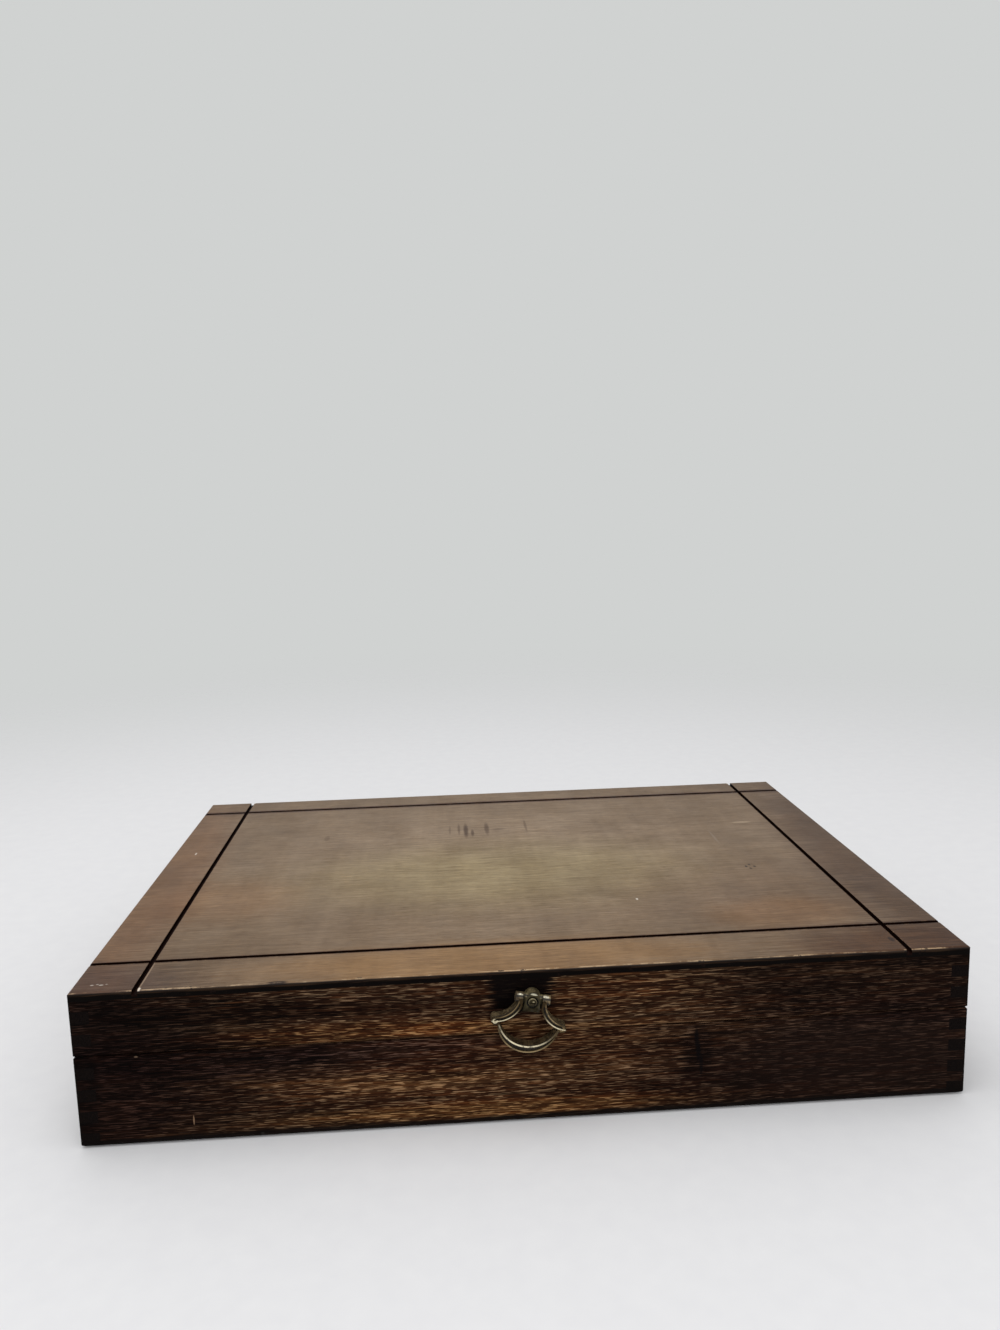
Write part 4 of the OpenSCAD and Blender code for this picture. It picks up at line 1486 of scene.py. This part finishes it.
@dataclass
class Rack:
    """A wooden bar with a row of cuts, covered with felt that is stretched over it.

    Attributes:
        node: The CAD node that it stands for.
        body: The body that it rides on.
        cut: The shape of its cuts.
        count: How many cuts it has.
        wide: A cut's width, in mm.
        deep: A cut's depth, in mm.
        mouth: How round the cut's mouth is, in mm.
        opens_up: Whether the cuts open upwards.
        felt: The felt's thickness, in mm.
        soft: How round the covered edges are, in mm.
    """

    node: str
    body: Body
    cut: Cut
    count: int
    wide: float
    deep: float
    mouth: float
    opens_up: bool
    felt: float = 0.9
    soft: float = 1.1

    def build(self, felt: Material, wood: Material) -> tuple[Piece, Piece]:
        """Models the bar and its cover.

        Args:
            felt: The cover's felt.
            wood: The bar's wood.

        Returns:
            The cover and the bar.
        """
        core = self._bar(self.node + "_core", self.felt, self.soft * 0.3)
        cover = self._bar(self.node + "_cover", 0.0, self.soft)
        area = self._wrap(cover)
        stand_in(core, self.node, self.body, wood)
        stand_in(cover, self.node, self.body, felt)
        low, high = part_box(self.node)
        width = (high.y - low.y) + 2 * (high.z - low.z)
        length = max((high.x - low.x) + 2 * (high.z - low.z), area / width)
        sizes = (width / MM, length / MM, area / MM**2)
        LOG.info("%s: cover of %.0f x %.0f mm, %.0f square mm used", self.node, *sizes)
        return cover, core

    def _bar(self, name: str, less: float, soften: float) -> Piece:
        """Models the bar with its cuts.

        Args:
            name: The piece's name.
            less: How far its surface lies inside the CAD node's, in mm.
            soften: How round its edges are, in mm.

        Returns:
            The bar.
        """
        low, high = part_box(self.node)
        less, pitch = less * MM, (high.x - low.x) / self.count
        foot, crest = (low.z, high.z - less) if self.opens_up else (low.z + less, high.z)
        corner = Vector((low.x + pitch, high.y - less, crest))
        cell = Bench.block(name, Vector((low.x, low.y + less, foot)), corner)
        self._carve(cell, low.x + pitch / 2, high.z if self.opens_up else low.z, less)

        def is_end(face: bmesh.types.BMFace) -> bool:
            """Whether a face is one of the cell's two ends."""
            place = face.calc_center_median().x
            away = min(abs(place - low.x), abs(place - low.x - pitch))
            return abs(face.normal.x) > SQUARE_ON and away < NEAR

        Bench.work(cell, Kind.FACE, is_end, bpy.ops.mesh.delete, type="FACE")
        Bench.apply(
            cell,
            "ARRAY",
            count=self.count,
            use_relative_offset=False,
            use_constant_offset=True,
            constant_offset_displace=(pitch, 0.0, 0.0),
            use_merge_vertices=True,
            merge_threshold=NEAR,
        )
        with Bench.editing(cell, Kind.EDGE):
            bpy.ops.mesh.select_all(action="SELECT")
            bpy.ops.mesh.remove_doubles(threshold=NEAR)
            bpy.ops.mesh.select_all(action="DESELECT")
            bpy.ops.mesh.select_non_manifold()
            bpy.ops.mesh.fill_holes(sides=0)
            bpy.ops.mesh.select_all(action="SELECT")
            bpy.ops.mesh.dissolve_limited(angle_limit=math.radians(0.5))
            bpy.ops.mesh.normals_make_consistent(inside=False)
        for end, inward in ((low.x, less), (high.x, -less)):
            self._push(cell, lambda vert: abs(vert.co.x - end) < NEAR, (inward, 0.0, 0.0))
        limit = {"limit_method": "ANGLE", "angle_limit": math.radians(40), "use_clamp_overlap": True}
        Bench.apply(cell, "BEVEL", width=soften * MM, segments=3, **limit)
        Bench.smooth(cell, 40)
        return cell

    @staticmethod
    def _push(piece: Piece, test: Callable, by: Vec) -> None:
        """Moves the points that pass a test, in metres."""
        Bench.work(piece, Kind.VERT, test, bpy.ops.transform.translate, value=by)

    def _carve(self, cell: Piece, middle: float, open_z: float, less: float) -> None:
        """Cuts one notch, slot or hollow into a cell of the bar.

        Args:
            cell: The cell.
            middle: The cut's middle along the bar, in metres.
            open_z: The height of the uncovered bar's cut edge, in metres.
            less: How much wider the cut is all round, in metres.
        """
        low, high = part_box(self.node)
        way = 1.0 if self.opens_up else -1.0
        radius = self.wide * MM / 2
        centre = open_z - way * (self.deep * MM - radius)
        place = Vector((middle, (low.y + high.y) / 2, centre))
        length = (high.y - low.y) * 1.5
        cutter = Bench.rod(cell.name + "_cutter", place, radius + less, length, self.cut.value)
        if self.cut is not Cut.HANDLE:
            rise = (0.0, 0.0, way * self.deep * MM)
            self._push(cutter, lambda vert: (vert.co.z - centre) * way > HAIR, rise)
        Bench.apply(cell, "BOOLEAN", operation="DIFFERENCE", object=cutter, solver="EXACT")
        bpy.data.objects.remove(cutter)
        edge = open_z - way * less
        reach = radius + less + HAIR * 100

        def at_mouth(side: bmesh.types.BMEdge) -> bool:
            """Whether an edge is one of the two lips of the cut."""
            first, last = (vert.co for vert in side.verts)
            level = max(abs(first.z - edge), abs(last.z - edge)) < NEAR
            return level and abs(first.x - last.x) < HAIR and abs(first.x - middle) < reach

        if self.mouth:
            Bench.round_edges(cell, at_mouth, self.mouth, 4)

    def _wrap(self, cover: Piece) -> float:
        """Opens the cover where it is glued down and gives it the felt's thickness.

        Args:
            cover: The closed bar.

        Returns:
            The cloth's area, in square metres.
        """
        low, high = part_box(self.node)
        glued, way = (low.z, -1.0) if self.opens_up else (high.z, 1.0)

        def is_glued(face: bmesh.types.BMFace) -> bool:
            """Whether a face is a part of the glued side."""
            return face.normal.z * way > SQUARE_ON and abs(face.calc_center_median().z - glued) < NEAR

        Bench.work(cover, Kind.FACE, is_glued, bpy.ops.mesh.delete, type="FACE")
        area = sum(polygon.area for polygon in cover.data.polygons)
        Bench.apply(cover, "SOLIDIFY", thickness=self.felt * MM, offset=-1.0, use_even_offset=True)
        Bench.smooth(cover, 40)
        return area


@dataclass
class Interior:
    """Everything inside the chest: the felt linings and the four racks.

    Attributes:
        lining: The linings' felt.
        cover: The felt over the racks.
        wood: The racks' wood.
    """

    lining: Felt = Felt("lining_felt")
    cover: Felt = Felt("rack_felt", tone(66, 14, 22), tone(118, 34, 42), 0.2)
    wood: BottomPly = BottomPly("rack_wood")

    def build(self) -> None:
        """Models every soft piece."""
        lining = self.lining.material()
        base = ("base_front", "base_back", "base_left", "base_right")
        lid = ("lid_front", "lid_back", "lid_left", "lid_right")
        felts = (
            FlatFelt("base_floor_lining", Body.CHEST, ("base_bottom",), True),
            FlatFelt("lid_ceiling_lining", Body.LID, ("lid_top",), False),
            WallFelt("base_wall_lining", Body.CHEST, base, True),
            WallFelt("lid_wall_lining", Body.LID, lid, False),
        )
        for sheet in felts:
            LOG.info("%s: %d faces", sheet.node, len(sheet.build(lining).data.polygons))
        felt, wood = self.cover.material(), self.wood.material()
        for rack in self.racks():
            cover, core = rack.build(felt, wood)
            LOG.info("%s: %d and %d faces", rack.node, len(cover.data.polygons), len(core.data.polygons))

    def racks(self) -> tuple[Rack, ...]:
        """The four racks, two in the base for stacks and two in the lid for knives."""
        stack = (Body.CHEST, Cut.STACK, 6, 27.0, 16.0, 2.0, True)
        return (
            Rack("front_rack", *stack),
            Rack("back_rack", *stack),
            Rack("blade_rack", Body.LID, Cut.BLADE, 12, 3.2, 14.0, 1.6, False, 0.7, 0.9),
            Rack("handle_rest", Body.LID, Cut.HANDLE, 12, 17.0, 7.5, 0.0, False),
        )


@dataclass
class Studio:
    """The pale floor, the soft lights and the camera at the photograph's place.

    Attributes:
        eye: The camera's place, in mm.
        turn: Its turn to the right, its tilt down and its roll, in degrees.
        lens: Its focal length, in mm.
        sensor: The width of the frame that this is for, in mm.
        nearest: How near the camera still sees, in metres.
        aim: The place that the lamps look at, in metres.
        backdrop: The backdrop's colour.
        level: The world's level of light.
        floor_radius: The floor's radius, in metres.
        floor_drop: How far it lies under the chest, in metres, so that their faces don't meet.
    """

    eye: Vec = (-34.6, -547.3, 271.5)
    turn: Vec = (3.43, 8.76, -1.46)
    lens: float = 26.68
    sensor: float = 36.0
    nearest: float = 0.01
    aim: Vec = (0.0, 0.0, 0.04)
    backdrop: Tone = tone(208, 210, 209)
    level: float = 0.68
    floor_radius: float = 1.6
    floor_drop: float = 0.0002

    def build(self) -> None:
        """Sets up the whole studio."""
        self._floor()
        self._world()
        self._lamp("overhead_softbox", (-250, -250, 1500), (1.3, 1.1), 9.6)
        self._lamp("front_softbox", (350, -1500, 900), (1.2, 0.9), 4.0)
        self._camera()
        bpy.context.scene.view_settings.view_transform = "Standard"

    def _floor(self) -> None:
        """Lays the floor, a round sheet of paper under the chest."""
        Bench.clear()
        settings = {"vertices": 96, "radius": self.floor_radius, "fill_type": "NGON"}
        bpy.ops.mesh.primitive_circle_add(location=(0, 0, -self.floor_drop), **settings)
        floor = Bench.settle("studio_floor")
        dress(floor, PaperFloor().material())
        LOG.info("studio_floor: %.1f m across", 2 * self.floor_radius)

    def _world(self) -> None:
        """Lights all round at a plain level, in front of a pale backdrop."""
        world = bpy.data.worlds.new("studio_world")
        bpy.context.scene.world = world
        world.use_nodes = True
        nodes = Nodes(world.node_tree, "ShaderNodeOutputWorld")
        seen = nodes.node("ShaderNodeLightPath", {}, {}, "Is Camera Ray")
        seen = seen.most(seen.twin("Is Glossy Ray")).most(seen.twin("Is Transmission Ray"))
        light = nodes.node("ShaderNodeBackground", {}, {0: (1.0, 1.0, 1.0), 1: self.level})
        pale = nodes.node("ShaderNodeBackground", {}, {0: self.backdrop})
        nodes.show(nodes.node("ShaderNodeMixShader", {}, {0: seen, 1: light, 2: pale}))

    def _lamp(self, name: str, place: Vec, size: Pair, power: float) -> None:
        """Hangs a soft lamp that looks at the chest.

        Args:
            name: The lamp's name.
            place: Its place, in mm.
            size: Its two sides, in metres.
            power: Its power, in watts.
        """
        lamp = bpy.data.lights.new(name, "AREA")
        lamp.shape, lamp.size, lamp.size_y, lamp.energy = "RECTANGLE", *size, power
        held = bpy.data.objects.new(name, lamp)
        bpy.context.scene.collection.objects.link(held)
        held.location = Vector(place) * MM
        held.rotation_euler = (Vector(self.aim) - held.location).to_track_quat("-Z", "Y").to_euler()
        LOG.info("%s: %.1f W", name, power)

    def _camera(self) -> None:
        """Sets the camera where the photograph was taken from."""
        yaw, pitch, roll = (math.radians(angle) for angle in self.turn)
        ahead = Vector((math.sin(yaw) * math.cos(pitch), math.cos(yaw) * math.cos(pitch), -math.sin(pitch)))
        level = Vector((math.cos(yaw), -math.sin(yaw), 0.0))
        up = level.cross(ahead)
        right = math.cos(roll) * level + math.sin(roll) * up
        top = -math.sin(roll) * level + math.cos(roll) * up
        camera = bpy.data.objects.new("camera", bpy.data.cameras.new("camera"))
        bpy.context.scene.collection.objects.link(camera)
        camera.data.sensor_width = self.sensor
        camera.data.lens = self.lens
        camera.data.clip_start = self.nearest
        turned = Matrix((right, top, -ahead)).transposed().to_4x4()
        camera.matrix_world = Matrix.Translation(Vector(self.eye) * MM) @ turned
        bpy.context.scene.camera = camera


def write_sizes() -> None:
    """Updates the view layer.
    """
    bpy.context.view_layer.update()


def main() -> None:
    """Builds the dressed chest, class by class."""
    logging.basicConfig(level=logging.INFO, format="%(name)s: %(message)s")
    bpy.context.view_layer.update()
    for assembly in (Studio(), Boards(), Hardware(), Interior()):
        LOG.info("building %s", type(assembly).__name__)
        assembly.build()
    Bench.clear()
    write_sizes()


if __name__ == "__main__":
    main()
